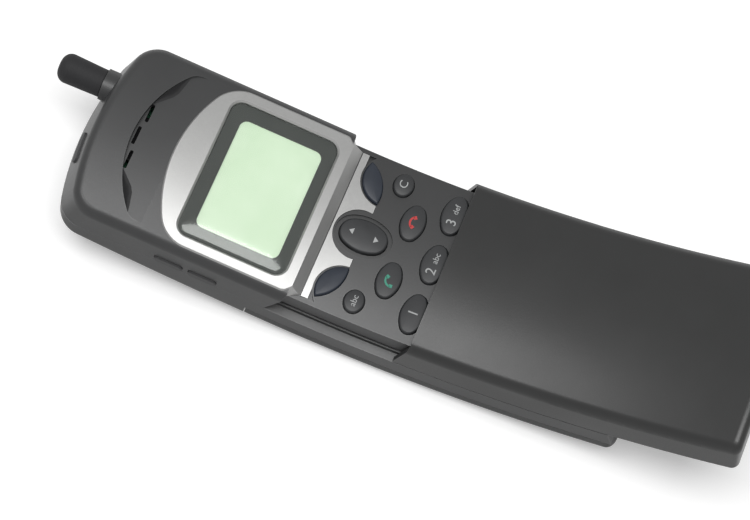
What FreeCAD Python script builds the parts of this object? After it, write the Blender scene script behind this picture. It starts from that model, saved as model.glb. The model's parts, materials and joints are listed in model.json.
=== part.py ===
import FreeCAD, Part
import math
import os
import Sketcher
from types import SimpleNamespace
from FreeCAD import Placement, Rotation, Vector

# A mobile phone whose body is bent along an arc, with a cover that slides over the keypad.
#
# Every piece is drawn in the case's own frame: its origin is the centre of the arc that the cover
# slides on, X runs to the phone's right, Y towards the top end and Z out of the front.
#   depth  is how far a place lies below the front surface, away from the arc's centre
#   arc    is how far a place lies below the step, along the front surface, towards the bottom end
# The head above the step is straight, and everything below it follows the arc.

SIZES = [
    ("arc_radius", 200, "front surface, from the arc's centre"),
    ("body_width", 48, "across the covers"),
    ("body_depth", 25, "front surface to the back"),
    ("head_length", 59.6, "step to the top end"),
    ("body_arc", 81.5, "step to the bottom end of the rear cover"),
    ("deck_arc", 78.5, "step to the bottom end of the key deck"),
    ("deck_inset", 2.3, "side of the covers to the side of the key deck"),
    ("deck_drop", 2.5, "front surface to the key deck"),
    ("shell_split", 12, "front surface to the parting line of the covers"),
    ("seam", 0.1, "gap between pieces that are put together"),
    ("slide_gap", 0.4, "running gap between the slide cover and what it passes"),
    ("lean", 18.8, "degrees that the slide cover's ends lean towards the top with depth"),
    ("edge_round", 2.5, "front edges"),
    ("back_round", 4.5, "back edges"),
    ("corner_round", 7, "corners of the top end, seen from the front"),
    ("top_bow", 78, "radius of the top end, seen from the front"),
    ("end_lean", 14.6, "degrees that the top end leans out with depth, in the front cover"),
    ("head_taper", 4, "depth that the head loses towards the top end"),
    ("front_skin", 2.8, "wall of the head's front"),
    ("side_wall", 1.6, "side walls of the covers"),
    ("deck_skin", 1.3, "wall of the key deck"),
    ("rest_arc", 24.35, "step to the middle of the flat that the phone lies on"),
    ("rest_cut", 0.6, "how deep that flat cuts into the curved back"),
    # slide cover
    ("cover_length", 84, "along the front"),
    ("cover_depth", 11.6, "front surface to the edge of its side walls"),
    ("cover_skin", 1.2, "front wall"),
    ("cover_wall", 1.3, "side walls and end wall"),
    ("cover_end_round", 1.8, "edges of its end wall"),
    ("cover_lip", 0.15, "thickness left at the bevelled start of its front"),
    ("cover_bevel", 1.2, "length of that bevel, on the inside"),
    ("cover_out", 32.35, "step to the cover's start, as the phone lies"),
    ("runner_depth", 8.7, "front surface to the runners"),
    ("runner_height", 1.2, "of the runners and their tracks"),
    ("runner_bite", 0.9, "how far the runners reach into the tracks"),
    ("runner_start", 1.5, "runners' start, above the start of the cover's front"),
    ("runner_length", 14, "along the cover"),
    ("sound_hole", 0.45, "radius of the holes for the microphone"),
    ("sound_pitch", 2, "between those holes"),
    ("sound_depth", 6.6, "front surface to those holes"),
    ("mic_radius", 3, "of the microphone capsule"),
    ("mic_height", 2.2, "of the microphone capsule"),
    ("boot_half", 3.5, "half the microphone's rubber boot"),
    ("boot_height", 2.9, "thickness of the boot"),
    ("flex_width", 1.4, "of the strip that feeds the microphone"),
    ("flex_sheet", 0.25, "its thickness"),
    ("flex_inset", 2.1, "inside of the slide cover to the middle of the strip"),
    # display
    ("display_middle", 17.1, "step to the middle of the display"),
    ("bezel_inset", 3.3, "side of the covers to the side of the surround"),
    ("bezel_top", 39.2, "step to its top"),
    ("bezel_foot", 0, "step to its bottom edge"),
    ("bezel_roll", 2.9, "step to the end of its lip, which slopes down to the key deck"),
    ("bezel_lip_inset", 0.3, "side of the surround to the side of that lip"),
    ("bezel_bow", 34, "radius of its top"),
    ("bezel_corner", 9, "radius of its top corners"),
    ("bezel_foot_corner", 2, "radius of its bottom corners"),
    ("bezel_sheet", 1.2, "thickness"),
    ("bezel_proud", 0.3, "how far it stands out of the head"),
    ("window_width", 34, "across"),
    ("window_height", 25, "along the phone"),
    ("window_corner", 3, "corner radius"),
    ("window_sheet", 0.9, "thickness"),
    ("mask_sheet", 0.3, "thickness"),
    ("bezel_bevel", 0.5, "round its outside and its window"),
    ("view_width", 27, "clear part of the display, across"),
    ("view_height", 20, "clear part of the display, along the phone"),
    ("view_corner", 2, "its corner radius"),
    ("glass_margin", 1.4, "how far the crystal reaches past the clear part"),
    ("glass_sheet", 2.0, "thickness of the crystal"),
    ("guide_sheet", 3.0, "thickness of the light guide"),
    ("board_sheet", 1.0, "thickness of the boards"),
    # ear
    ("dish_hinge", 39.2, "step to where the ear dish starts"),
    ("dish_lean", 6.5, "degrees that the dish slopes down towards the top"),
    ("dish_reach", 11.2, "length of the dish at its middle"),
    ("dish_inset", 3.4, "side of the covers to the side of the dish"),
    ("dish_bow", 30, "radius of the step that closes it"),
    ("dish_corner", 4, "corner radius"),
    ("ear_slot_width", 0.9, "of the sound slots"),
    ("ear_slot_length", 5, "of each sound slot"),
    ("ear_slot_pitch", 6.6, "between the sound slots"),
    ("ear_middle", 49.4, "step to the sound slots"),
    ("ear_radius", 6.0, "of the capsule"),
    ("ear_height", 3.0, "of the capsule"),
    ("gasket_sheet", 0.5, "thickness of the ear gasket"),
    # keys
    ("key_proud", 0.8, "how far the keys stand out of the deck"),
    ("key_gap", 0.15, "gap round a key in the deck"),
    ("key_ear", 0.55, "how far a key's two ears reach under the deck"),
    ("key_ear_half", 1.3, "half the width of an ear"),
    ("key_foot", 0.6, "thickness of the ears"),
    ("key_bevel", 0.35, "bevel round a key's top"),
    ("key_travel", 0.5, "press"),
    ("digit_row", 29.8, "step to the first row of digits"),
    ("digit_pitch", 9.3, "from row to row"),
    ("digit_margin", 7.8, "side of the key deck to the middle of the outer columns"),
    ("digit_half_length", 5.4, "half a digit key, across the phone"),
    ("digit_half_width", 3.25, "half a digit key, along the phone"),
    ("digit_end", 2.3, "radius of a digit key's ends"),
    ("call_row", 21.1, "step to the call and end keys"),
    ("call_column", 8.1, "middle of the phone to those keys"),
    ("call_half_length", 4.9, "half their length"),
    ("call_half_width", 3.1, "half their width"),
    ("side_row", 15.4, "step to the small keys at the sides"),
    ("side_margin", 5.2, "side of the key deck to the middle of those keys"),
    ("side_half_length", 3.1, "half their length"),
    ("side_half_width", 2.6, "half their width"),
    ("soft_row", 8.7, "step to the two soft keys"),
    ("soft_margin", 2.6, "side of the key deck to a soft key's outer tip"),
    ("soft_inner", 9.1, "middle of the phone to its inner tip"),
    ("soft_half_y", 2.6, "half the way between a soft key's tips, along the phone"),
    ("soft_bulge", 3.17, "how far its full side bows out"),
    ("soft_flat_bulge", 1.98, "how far its flatter side bows out"),
    ("scroll_row", 11.3, "step to the middle of the scroll key"),
    ("scroll_half_length", 6.2, "half its length, along the phone"),
    ("scroll_half_width", 4.2, "half its width"),
    ("scroll_end", 3.6, "radius of its ends"),
    ("scroll_dish_margin", 1.2, "how far the sunk ring round the scroll key reaches"),
    ("scroll_dish_depth", 0.5, "how deep that ring is sunk"),
    # trim strip round the top keys
    ("trim_row", 4.0, "step to the trim's own zero"),
    ("trim_inset", 1.3, "side of the key deck to the side of the trim"),
    ("trim_top", 0.9, "its zero to its top edge"),
    ("trim_tip", 7.2, "its zero to its points"),
    ("trim_margin", 0.45, "between the trim and a soft key"),
    ("trim_scallop", 6.6, "radius round the scroll key"),
    ("trim_scallop_low", 6.15, "its zero to the middle of that radius"),
    ("trim_sheet", 0.8, "thickness"),
    ("trim_proud", 0.2, "how far it stands out of the deck"),
    # under the deck
    ("deck_wall", 1.1, "side walls of the room under the deck's skin and behind it"),
    ("track_wall", 2.7, "side walls of the room between the side tracks"),
    ("room_step", 7.6, "front surface to where the room narrows"),
    ("mat_sheet", 0.7, "thickness of the key mat"),
    ("mat_start", 2.6, "step to the start of the key mat"),
    ("mat_end", 63, "step to the end of the key mat"),
    ("dome_radius", 2.3, "of the snap domes"),
    ("dome_sheet", 0.25, "height of the snap domes"),
    ("dome_step", 3.6, "middle of the scroll key to the dome under each of its ends"),
    ("main_middle", 32.5, "step to the middle of the main board"),
    ("main_length", 60, "of the main board"),
    ("board_gap", 1.85, "between the keypad board and the main board"),
    ("reader_sheet", 4.2, "thickness of the card reader"),
    ("can_gap", 0.8, "between the shield cans and the card reader"),
    ("radio_can_width", 31, "of the upper shield can"),
    ("radio_can_length", 25, "of the upper shield can"),
    ("logic_can_width", 27, "of the lower shield can"),
    ("logic_can_length", 22, "of the lower shield can"),
    ("logic_can_x", 3, "middle of the phone to the lower shield can"),
    ("can_margin", 3, "upper end of the main board to the upper shield can"),
    ("can_step", 1.5, "between the shield cans"),
    ("head_board_depth", 9.4, "front surface to the head board"),
    ("head_board_start", 6.4, "step to the head board"),
    # rear cover
    ("bay_depth", 7, "depth of the battery bay in the back"),
    ("floor_sheet", 1.3, "thickness of that floor"),
    ("bay_top", 8.4, "how far the battery bay reaches above the step"),
    ("rear_room", 75, "step to the end of the hollow in the rear cover"),
    ("head_back_skin", 5.7, "wall behind the head's hollow, before it tapers"),
    ("latch_skin", 2.1, "wall behind the catch's hollow"),
    # connector at the bottom end
    ("plug_width", 19, "across"),
    ("plug_height", 4.4, "front to back"),
    ("plug_length", 9, "along the phone"),
    ("socket_radius", 1.75, "charging socket"),
    ("socket_length", 7, "charging socket"),
    ("contact_slot_height", 1.6, "of the slots beside the socket"),
    ("contact_slot_length", 5, "of the slots beside the socket"),
    ("contact_slot_depth", 3, "of the slots beside the socket"),
    ("contact_slot_x", 5.8, "middle of the phone to those slots"),
    # windows in the floor of the battery bay
    ("sim_arc", 38, "step to the card reader"),
    ("sim_width", 24, "of its window"),
    ("sim_length", 14, "of its window"),
    ("contact_arc", 58, "step to the battery contacts"),
    ("contact_width", 14, "of their window"),
    ("contact_length", 5, "of their window"),
    # antenna
    ("antenna_x", 11.4, "middle of the phone to the antenna"),
    ("antenna_depth", 7.8, "front surface to the antenna's axis"),
    ("antenna_radius", 3.6, "above its collar"),
    ("antenna_tip_radius", 3.85, "near the tip"),
    ("antenna_top", 74.6, "step to the tip"),
    ("neck_radius", 2.75, "where it passes through the collar"),
    ("antenna_foot", 57.2, "step to the lower end of the neck"),
    ("collar_radius", 4.1, "of the collar on the case"),
    ("collar_top", 62.7, "step to the top of the collar"),
    ("stem_radius", 1.9, "of the antenna's stem"),
    ("stem_length", 4, "of the antenna's stem"),
    ("antenna_gap", 0.2, "round the antenna in the case"),
    # keys in the walls
    ("power_x", 7, "middle of the phone to the power key"),
    ("power_depth", 6.6, "front surface to the power key"),
    ("power_half_length", 4, "half the power key"),
    ("power_half_height", 1.6, "half the power key's height"),
    ("power_proud", 0.5, "how far it stands out"),
    ("volume_depth", 9.6, "front surface to the volume keys"),
    ("volume_half_length", 3.7, "half a volume key"),
    ("volume_half_height", 1.4, "half a volume key's height"),
    ("volume_proud", 0.5, "how far they stand out"),
    ("volume_up_y", 29.7, "step to the upper one"),
    ("volume_down_y", 20.7, "step to the lower one"),
    # screws
    ("screw_radius", 0.9, "shank"),
    ("screw_head_radius", 1.8, "head"),
    ("screw_head_height", 1.1, "head"),
    ("screw_tip_depth", 8, "front surface to the screws' tips"),
    ("post_radius", 2.2, "posts that the screws hold"),
    ("upper_screw_x", 16.5, "middle of the phone to the upper pair"),
    ("upper_screw_up", 3.6, "step to the upper pair, towards the top"),
    ("lower_screw_x", 14.5, "middle of the phone to the lower pair"),
    ("lower_screw_arc", 67.5, "step to the lower pair"),
    # battery
    ("battery_gap", 0.3, "between the battery and the rear cover"),
    ("battery_wall", 1.5, "walls of the battery's case"),
    ("battery_skin", 1.4, "its back"),
    ("battery_end", 81.2, "step to its bottom end"),
    ("lid_sheet", 0.9, "its inner lid"),
    ("cell_length", 23.5, "of a cell, along the phone"),
    ("cell_pitch", 25.5, "from cell to cell"),
    ("cell_first", 10.5, "step to the first cell's middle"),
    ("cell_height", 3.7, "thickness of a cell"),
    ("cell_width", 39, "of a cell, across the phone"),
    ("battery_end_round", 2.2, "edges of its bottom end"),
    ("grip_arc", 68, "step to the middle of the grip on its back"),
    ("grip_half", 13, "half the width of the grip"),
    ("grip_pitch", 2.6, "between the grooves of the grip"),
    ("grip_groove", 0.6, "half the width of a groove"),
    ("grip_depth", 0.4, "depth of a groove"),
    # battery catch
    ("latch_half", 6.8, "half the catch's button"),
    ("latch_low", 12.2, "step to the button's lower edge"),
    ("latch_length", 6, "of the button"),
    ("latch_travel", 1.8, "of the catch"),
    ("latch_plate", 1.1, "thickness of its plate"),
    ("latch_margin", 1.6, "how far the plate reaches past the button"),
    ("tongue_half", 4, "half the tongue's width"),
    ("tongue_bite", 0.7, "how far the tongue reaches into the battery"),
    ("tongue_seat", 1.1, "depth of its seat in the battery's end"),
]

DEGREES = 180 / math.pi


class Size:
    """A length with its present value and the spreadsheet expression that gives it."""

    def __init__(self, value, text):
        self.value = float(value)
        self.text = text

    def __add__(self, other):
        other = size_of(other)
        return Size(self.value + other.value, f"({self.text} + {other.text})")

    def __radd__(self, other):
        return size_of(other) + self

    def __sub__(self, other):
        other = size_of(other)
        return Size(self.value - other.value, f"({self.text} - {other.text})")

    def __rsub__(self, other):
        return size_of(other) - self

    def __mul__(self, other):
        other = size_of(other)
        return Size(self.value * other.value, f"({self.text} * {other.text})")

    def __rmul__(self, other):
        return size_of(other) * self

    def __truediv__(self, other):
        other = size_of(other)
        return Size(self.value / other.value, f"({self.text} / {other.text})")

    def __neg__(self):
        return Size(-self.value, f"(0 - {self.text})")


def size_of(item):
    """Take a plain number as a size."""
    if isinstance(item, Size):
        return item
    return Size(item, f"({float(item):.10f})")


def root(item):
    return Size(math.sqrt(item.value), f"sqrt({item.text})")


def sine(degrees):
    return Size(math.sin(degrees.value / DEGREES), f"sin({degrees.text})")


def cosine(degrees):
    return Size(math.cos(degrees.value / DEGREES), f"cos({degrees.text})")


def bind(item, path, size):
    """Tie a property of a document object to the spreadsheet."""
    item.setExpression(path, size_of(size).text)


def fill_sheet(document):
    """Write the sizes as aliased cells and hand them back by name."""
    sheet = document.addObject("Spreadsheet::Sheet", "Sizes")
    named = SimpleNamespace()
    for row, (alias, value, note) in enumerate(SIZES, 1):
        sheet.set(f"A{row}", alias)
        sheet.set(f"B{row}", str(value))
        sheet.set(f"C{row}", note)
        sheet.setAlias(f"B{row}", alias)
        setattr(named, alias, Size(value, f"Sizes.{alias}"))
    document.recompute()
    return named


doc = FreeCAD.newDocument("SliderPhone")
s = fill_sheet(doc)
parts = []

slant = sine(s.lean) / cosine(s.lean)
end_slant = sine(s.end_lean) / cosine(s.end_lean)
half_body = s.body_width / 2
half_deck = half_body - s.deck_inset
half_bezel = half_body - s.bezel_inset
bezel_lip_half = half_bezel - s.bezel_lip_inset
trim_half = half_deck - s.trim_inset
deck_room = half_deck - s.deck_wall
track_room = half_deck - s.track_wall
cover_inside = half_body - s.cover_wall
digit_column = half_deck - s.digit_margin
side_column = half_deck - s.side_margin
soft_half_x = (half_deck - s.soft_margin - s.soft_inner) / 2
soft_column = s.soft_inner + soft_half_x
soft_across = soft_half_x * soft_half_x + s.soft_half_y * s.soft_half_y
soft_round = (soft_across + s.soft_bulge * s.soft_bulge) / (s.soft_bulge * 2)
soft_flat = (soft_across + s.soft_flat_bulge * s.soft_flat_bulge) / (s.soft_flat_bulge * 2)
arc_height = s.arc_radius + s.body_depth - s.rest_cut
deck_under = s.deck_drop + s.deck_skin
foot_bottom = deck_under + s.seam + s.key_foot
mat_top = foot_bottom + s.key_travel + s.seam
board_top = mat_top + s.mat_sheet + s.seam + s.dome_sheet
main_depth = board_top + s.board_sheet + s.board_gap
floor_depth = s.body_depth - s.bay_depth
floor_top = floor_depth - s.floor_sheet
head_room_depth = s.body_depth - s.head_back_skin
latch_room_depth = s.body_depth - s.latch_skin
plug_depth = (s.shell_split + floor_depth) / 2
battery_top = floor_depth + s.battery_gap
reader_top = floor_depth - s.battery_gap - s.reader_sheet


def level(depth):
    """Z of a place at a depth below the front surface."""
    return -(s.arc_radius + depth)


def turn(arc):
    """Degrees between the step and a place on the arc."""
    return arc / s.arc_radius * DEGREES


def place(item, arc=0):
    """Put a piece of the case's frame in the part's frame, moved down along the arc."""
    angle = turn(s.rest_arc - arc)
    item.Placement = Placement(Vector(0, 0, arc_height.value), Rotation(Vector(1, 0, 0), angle.value))
    bind(item, "Placement.Base.z", arc_height)
    bind(item, "Placement.Rotation.Angle", angle)


# Outlines: lists of corners (x, y) or (x, y, radius). A radius makes the side that leaves the corner
# an arc, turning to the left where it is positive and to the right where it is negative.


def box_outline(low_x, high_x, low_y, high_y):
    return [(low_x, low_y), (high_x, low_y), (high_x, high_y), (low_x, high_y)]


def round_box_outline(half_x, half_y, radius, middle_x=0, middle_y=0):
    """A rectangle with round corners."""
    left = middle_x - half_x
    right = middle_x + half_x
    low = middle_y - half_y
    high = middle_y + half_y
    return [
        (left + radius, low),
        (right - radius, low, radius),
        (right, low + radius),
        (right, high - radius, radius),
        (right - radius, high),
        (left + radius, high, radius),
        (left, high - radius),
        (left, low + radius, radius),
    ]


def oval_outline(half_length, half_width, end, middle_x=0, middle_y=0, upright=False):
    """An oval of four tangent arcs: two long sides and two round ends."""
    end_x = half_length - end
    side = (end_x * end_x + half_width * half_width - end * end) / (2 * (half_width - end))
    side_drop = side - half_width
    reach = end / (side - end)
    touch_x = end_x + end_x * reach
    touch_y = side_drop * reach
    corners = [
        (touch_x, -touch_y, end),
        (touch_x, touch_y, side),
        (-touch_x, touch_y, end),
        (-touch_x, -touch_y, side),
    ]
    if upright:
        corners = [(-y, x, radius) for x, y, radius in corners]
    return [(middle_x + x, middle_y + y, radius) for x, y, radius in corners]


def arched_outline(half, low, top, corner, bow):
    """Straight sides, a straight foot and a bowed top with round corners."""
    bow_y = top - bow
    corner_x = half - corner
    inner = bow - corner
    corner_y = bow_y + root(inner * inner - corner_x * corner_x)
    touch_x = corner_x * bow / inner
    touch_y = bow_y + (corner_y - bow_y) * bow / inner
    return [
        (-half, low),
        (half, low),
        (half, corner_y, corner),
        (touch_x, touch_y, bow),
        (-touch_x, touch_y, corner),
        (-half, corner_y),
    ]


def head_outline(low, inset=0, depth=0):
    """The head seen from the front at a depth, or a wall's thickness inside it."""
    inset = size_of(inset)
    top = s.head_length + end_slant * depth
    return arched_outline(half_body - inset, low, top - inset,
                          s.corner_round - inset, s.top_bow - inset)


def bezel_outline(grow=0):
    """The display's surround seen from the front."""
    grow = size_of(grow)
    corners = arched_outline(half_bezel + grow, s.bezel_foot - grow, s.bezel_top + grow,
                             s.bezel_corner + grow, s.bezel_bow + grow)
    half = half_bezel + grow
    low = s.bezel_foot - grow
    radius = s.bezel_foot_corner
    foot = [
        (-half, low + radius, radius),
        (-half + radius, low),
        (half - radius, low, radius),
        (half, low + radius),
    ]
    return foot + corners[2:]


def soft_outline(side, grow=0):
    """A soft key: a leaf of two arcs, from its outer tip to its inner tip. Side is 1 on the right."""
    grow = size_of(grow)
    column = soft_column * side
    outer = (column + (soft_half_x + grow) * side, s.soft_half_y)
    inner = (column - (soft_half_x + grow) * side, -s.soft_half_y)
    round_side = soft_round + grow
    flat_side = soft_flat + grow
    if side > 0:
        return [(outer[0], outer[1], round_side), (inner[0], inner[1], flat_side)]
    return [(outer[0], outer[1], flat_side), (inner[0], inner[1], round_side)]


def trim_outline(grow=0):
    """The strip above the top keys, with a scallop round each soft key and the scroll key."""
    grow = size_of(grow)
    back = root(soft_round * soft_round - soft_across) / root(soft_across)
    middle_x = soft_column + s.soft_half_y * back
    middle_y = s.trim_row - s.soft_row - soft_half_x * back
    ring = soft_round + s.trim_margin - grow
    half = trim_half + grow
    end_y = middle_y + root(ring * ring - (half - middle_x) * (half - middle_x))
    tip = -s.trim_tip - grow
    tip_x = middle_x - root(ring * ring - (tip - middle_y) * (tip - middle_y))
    bowl = s.trim_scallop - grow
    bowl_x = root(bowl * bowl - (tip + s.trim_scallop_low) * (tip + s.trim_scallop_low))
    bowl_top = bowl - s.trim_scallop_low
    top = s.trim_top + grow
    crown = middle_y + ring
    return [
        (-half, top),
        (-half, end_y, -ring),
        (-middle_x, crown, -ring),
        (-tip_x, tip),
        (-bowl_x, tip, -bowl),
        (size_of(0), bowl_top, -bowl),
        (bowl_x, tip),
        (tip_x, tip, -ring),
        (middle_x, crown, -ring),
        (half, end_y),
        (half, top),
    ]


def arc_between(start, end, radius):
    """The arc shorter than a half turn from start to end. Its centre is on the left if radius > 0."""
    chord = end - start
    middle = (start + end) * 0.5
    rise = math.sqrt(max(radius * radius - chord.Length ** 2 / 4, 0))
    left = Vector(-chord.y, chord.x, 0).normalize()
    centre = middle + left * (rise if radius > 0 else -rise)
    first, last = (start, end) if radius > 0 else (end, start)
    circle = Part.Circle(centre, Vector(0, 0, 1), abs(radius))
    return Part.ArcOfCircle(circle, circle.parameter(first), circle.parameter(last))


def draw(sketch, corners):
    """Draw a closed outline, with every corner and radius tied to the spreadsheet."""
    corners = [tuple(size_of(item) for item in corner) for corner in corners]
    points = [Vector(corner[0].value, corner[1].value, 0) for corner in corners]
    first = sketch.GeometryCount
    ends = []
    for index, corner in enumerate(corners):
        start = points[index]
        end = points[(index + 1) % len(points)]
        if len(corner) == 2:
            sketch.addGeometry(Part.LineSegment(start, end), False)
            ends.append((1, 2))
        else:
            sketch.addGeometry(arc_between(start, end, corner[2].value), False)
            ends.append((1, 2) if corner[2].value > 0 else (2, 1))
    for index, corner in enumerate(corners):
        side = first + index
        after = (index + 1) % len(corners)
        sketch.addConstraint(Sketcher.Constraint("Coincident", side, ends[index][1],
                                                 first + after, ends[after][0]))
        fix(sketch, "DistanceX", side, ends[index][0], corner[0])
        fix(sketch, "DistanceY", side, ends[index][0], corner[1])
        if len(corner) == 3:
            radius = corner[2] if corner[2].value > 0 else -corner[2]
            constraint = sketch.addConstraint(Sketcher.Constraint("Radius", side, radius.value))
            bind(sketch, f"Constraints[{constraint}]", radius)


def fix(sketch, kind, side, end, size):
    """Hold one end of a side at a distance from the sketch's origin."""
    constraint = sketch.addConstraint(Sketcher.Constraint(kind, -1, 1, side, end, size.value))
    bind(sketch, f"Constraints[{constraint}]", size)


def draw_circle(sketch, middle_x, middle_y, radius):
    """Draw a circle tied to the spreadsheet."""
    middle_x, middle_y, radius = size_of(middle_x), size_of(middle_y), size_of(radius)
    circle = Part.Circle(Vector(middle_x.value, middle_y.value, 0), Vector(0, 0, 1), radius.value)
    side = sketch.addGeometry(circle, False)
    fix(sketch, "DistanceX", side, 3, middle_x)
    fix(sketch, "DistanceY", side, 3, middle_y)
    constraint = sketch.addConstraint(Sketcher.Constraint("Radius", side, radius.value))
    bind(sketch, f"Constraints[{constraint}]", radius)


class Piece:
    """One moulded, pressed or turned piece, as a body with its own sketches and features."""

    def __init__(self, node, arc=0):
        self.node = node
        self.body = doc.addObject("PartDesign::Body", node)
        self.body.Label = node
        place(self.body, arc)
        parts.append(self.body)

    def sketch(self, role):
        sketch = self.body.newObject("Sketcher::SketchObject", self.node + "_sketch")
        plane = [item for item in self.body.Origin.OriginFeatures if item.Role == role][0]
        sketch.AttachmentSupport = [(plane, "")]
        sketch.MapMode = "FlatFace"
        return sketch

    def plan(self, depth, arc=None):
        """A sketch seen from the front, at a depth and, below the step, square to the arc."""
        sketch = self.sketch("XY_Plane")
        if arc is None:
            bind(sketch, "AttachmentOffset.Base.z", level(depth))
            return sketch
        angle = turn(size_of(arc))
        sketch.AttachmentOffset = Placement(Vector(), Rotation(Vector(1, 0, 0), -angle.value))
        bind(sketch, "AttachmentOffset.Rotation.Angle", -angle)
        bind(sketch, "AttachmentOffset.Base.y", level(depth) * sine(angle))
        bind(sketch, "AttachmentOffset.Base.z", level(depth) * cosine(angle))
        return sketch

    def tilted(self, degrees, y=0):
        """A sketch seen from the front, tilted about a line across the head's front surface."""
        sketch = self.sketch("XY_Plane")
        sketch.AttachmentOffset = Placement(Vector(), Rotation(Vector(1, 0, 0), degrees.value))
        bind(sketch, "AttachmentOffset.Rotation.Angle", degrees)
        bind(sketch, "AttachmentOffset.Base.y", y)
        bind(sketch, "AttachmentOffset.Base.z", level(0))
        return sketch

    def section(self, arc=0):
        """A sketch across the phone, in a plane through the arc's centre, at a place on the arc."""
        sketch = self.sketch("XZ_Plane")
        angle = turn(size_of(arc))
        if angle.value:
            sketch.AttachmentOffset = Placement(Vector(), Rotation(Vector(1, 0, 0), -angle.value))
            bind(sketch, "AttachmentOffset.Rotation.Angle", -angle)
        return sketch

    def side(self, arc=0, x=0):
        """A sketch seen from the right, turned so that its vertical meets the arc at a place."""
        sketch = self.sketch("YZ_Plane")
        angle = turn(size_of(arc))
        if angle.value:
            sketch.AttachmentOffset = Placement(Vector(), Rotation(Vector(0, 0, 1), -angle.value))
            bind(sketch, "AttachmentOffset.Rotation.Angle", -angle)
        bind(sketch, "AttachmentOffset.Base.z", size_of(x))
        return sketch

    def end_on(self, y):
        """A sketch seen from the bottom end, at a place along the straight head."""
        sketch = self.sketch("XZ_Plane")
        bind(sketch, "AttachmentOffset.Base.z", -size_of(y))
        return sketch

    def feature(self, kind, name, sketch):
        feature = self.body.newObject("PartDesign::" + kind, self.node + "_" + name)
        feature.Profile = sketch
        sketch.Visibility = False
        return feature

    def pad(self, sketch, length, flip=True):
        """Add material below the sketch, or above it where flip is False."""
        feature = self.feature("Pad", "pad", sketch)
        bind(feature, "Length", length)
        feature.Reversed = flip
        return feature

    def pocket(self, sketch, length=None, flip=False, both=False):
        """Cut below the sketch, above it where flip is True, or right through on both sides."""
        feature = self.feature("Pocket", "pocket", sketch)
        if length is None:
            feature.Type = "ThroughAll"
        else:
            bind(feature, "Length", length)
        feature.Reversed = flip
        feature.Midplane = both
        return feature

    def sweep(self, sketch, arc):
        """Turn a section about the arc's centre, down along the arc."""
        feature = self.feature("Revolution", "sweep", sketch)
        feature.ReferenceAxis = (sketch, ["H_Axis"])
        bind(feature, "Angle", turn(arc))
        feature.Reversed = True
        return feature

    def cut_sweep(self, sketch, arc):
        """Cut a section about the arc's centre, down along the arc."""
        feature = self.feature("Groove", "groove", sketch)
        feature.ReferenceAxis = (sketch, ["H_Axis"])
        bind(feature, "Angle", turn(arc))
        feature.Reversed = True
        return feature

    def spin(self, sketch):
        """Turn a half profile all round the sketch's own horizontal axis."""
        feature = self.feature("Revolution", "spin", sketch)
        feature.ReferenceAxis = (sketch, ["H_Axis"])
        feature.Angle = 360
        return feature

    def mirror(self, feature):
        """Repeat a feature on the other side of the phone."""
        mirrored = self.body.newObject("PartDesign::Mirrored", self.node + "_mirrored")
        plane = [item for item in self.body.Origin.OriginFeatures if item.Role == "YZ_Plane"][0]
        mirrored.Originals = [feature]
        mirrored.MirrorPlane = (plane, [""])
        self.body.Tip = mirrored
        return mirrored

    def dress(self, kind, path, size, test):
        """Round or bevel the edges that pass a test."""
        doc.recompute()
        base = self.body.Tip
        names = [f"Edge{number}" for number, edge in enumerate(base.Shape.Edges, 1) if test(edge)]
        if not names:
            raise RuntimeError(f"{self.node}: no edge to dress")
        feature = self.body.newObject("PartDesign::" + kind, self.node + "_" + kind.lower())
        feature.Base = (base, names)
        bind(feature, path, size)
        return feature

    def round_edges(self, size, test):
        return self.dress("Fillet", "Radius", size, test)

    def bevel_edges(self, size, test):
        return self.dress("Chamfer", "Size", size, test)


NEAR = 0.02


def samples(edge):
    """Three points of an edge."""
    first, last = edge.ParameterRange
    return [edge.valueAt(first + (last - first) * share) for share in (0.1, 0.5, 0.9)]


def depth_of(point):
    """Depth of a point below the front surface, where the body follows the arc."""
    return math.hypot(point.y, point.z) - s.arc_radius.value


def flat_depth_of(point):
    """Depth of a point below the front surface of the straight head."""
    return -point.z - s.arc_radius.value


def all_near(edge, measure, size):
    return all(abs(measure(point) - size_of(size).value) < NEAR for point in samples(edge))


def upright(edge):
    """An edge that runs from front to back."""
    points = samples(edge)
    return abs(points[0].x - points[2].x) < NEAR and abs(points[0].y - points[2].y) < NEAR


# Plain stock: shapes made of Part primitives, placed in the case's frame.


def stock(kind, name, arc=0, x=0, y=0, depth=0, tilt=0, **sizes):
    """A primitive whose own Z looks out of the front, or is tilted from there, on the arc."""
    item = doc.addObject("Part::" + kind, name)
    for path, size in sizes.items():
        bind(item, path, size)
    angle = turn(size_of(arc))
    lean = size_of(tilt) - angle
    x, y, depth = size_of(x), size_of(y), size_of(depth)
    item.Placement = Placement(Vector(), Rotation(Vector(1, 0, 0), lean.value))
    if lean.value:
        bind(item, "Placement.Rotation.Angle", lean)
    bind(item, "Placement.Base.x", x)
    bind(item, "Placement.Base.y", y * cosine(angle) + level(depth) * sine(angle))
    bind(item, "Placement.Base.z", level(depth) * cosine(angle) - y * sine(angle))
    return item


def block(name, width, length, height, arc=0, x=0, y=0, depth=0):
    """A box of which x, y and depth give the middle of its lower face."""
    return stock("Box", name, arc, x - size_of(width) / 2, y - size_of(length) / 2, depth,
                 Length=width, Width=length, Height=height)


def disc(name, radius, height, arc=0, x=0, y=0, depth=0):
    """A cylinder of which x, y and depth give the middle of its lower face."""
    return stock("Cylinder", name, arc, x, y, depth, Radius=radius, Height=height)


def group(node, items, arc=0):
    """One solid, or several separate solids of one kind, as a sub-part."""
    item = doc.addObject("Part::Compound", node)
    item.Links = items
    return finish(item, node, arc)


def less(node, base, tool, arc=0):
    """One solid cut out of another, as a sub-part."""
    item = doc.addObject("Part::Cut", node)
    item.Base = base
    item.Tool = tool
    return finish(item, node, arc)


def joined(name, items):
    item = doc.addObject("Part::MultiFuse", name)
    item.Shapes = items
    return item


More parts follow.
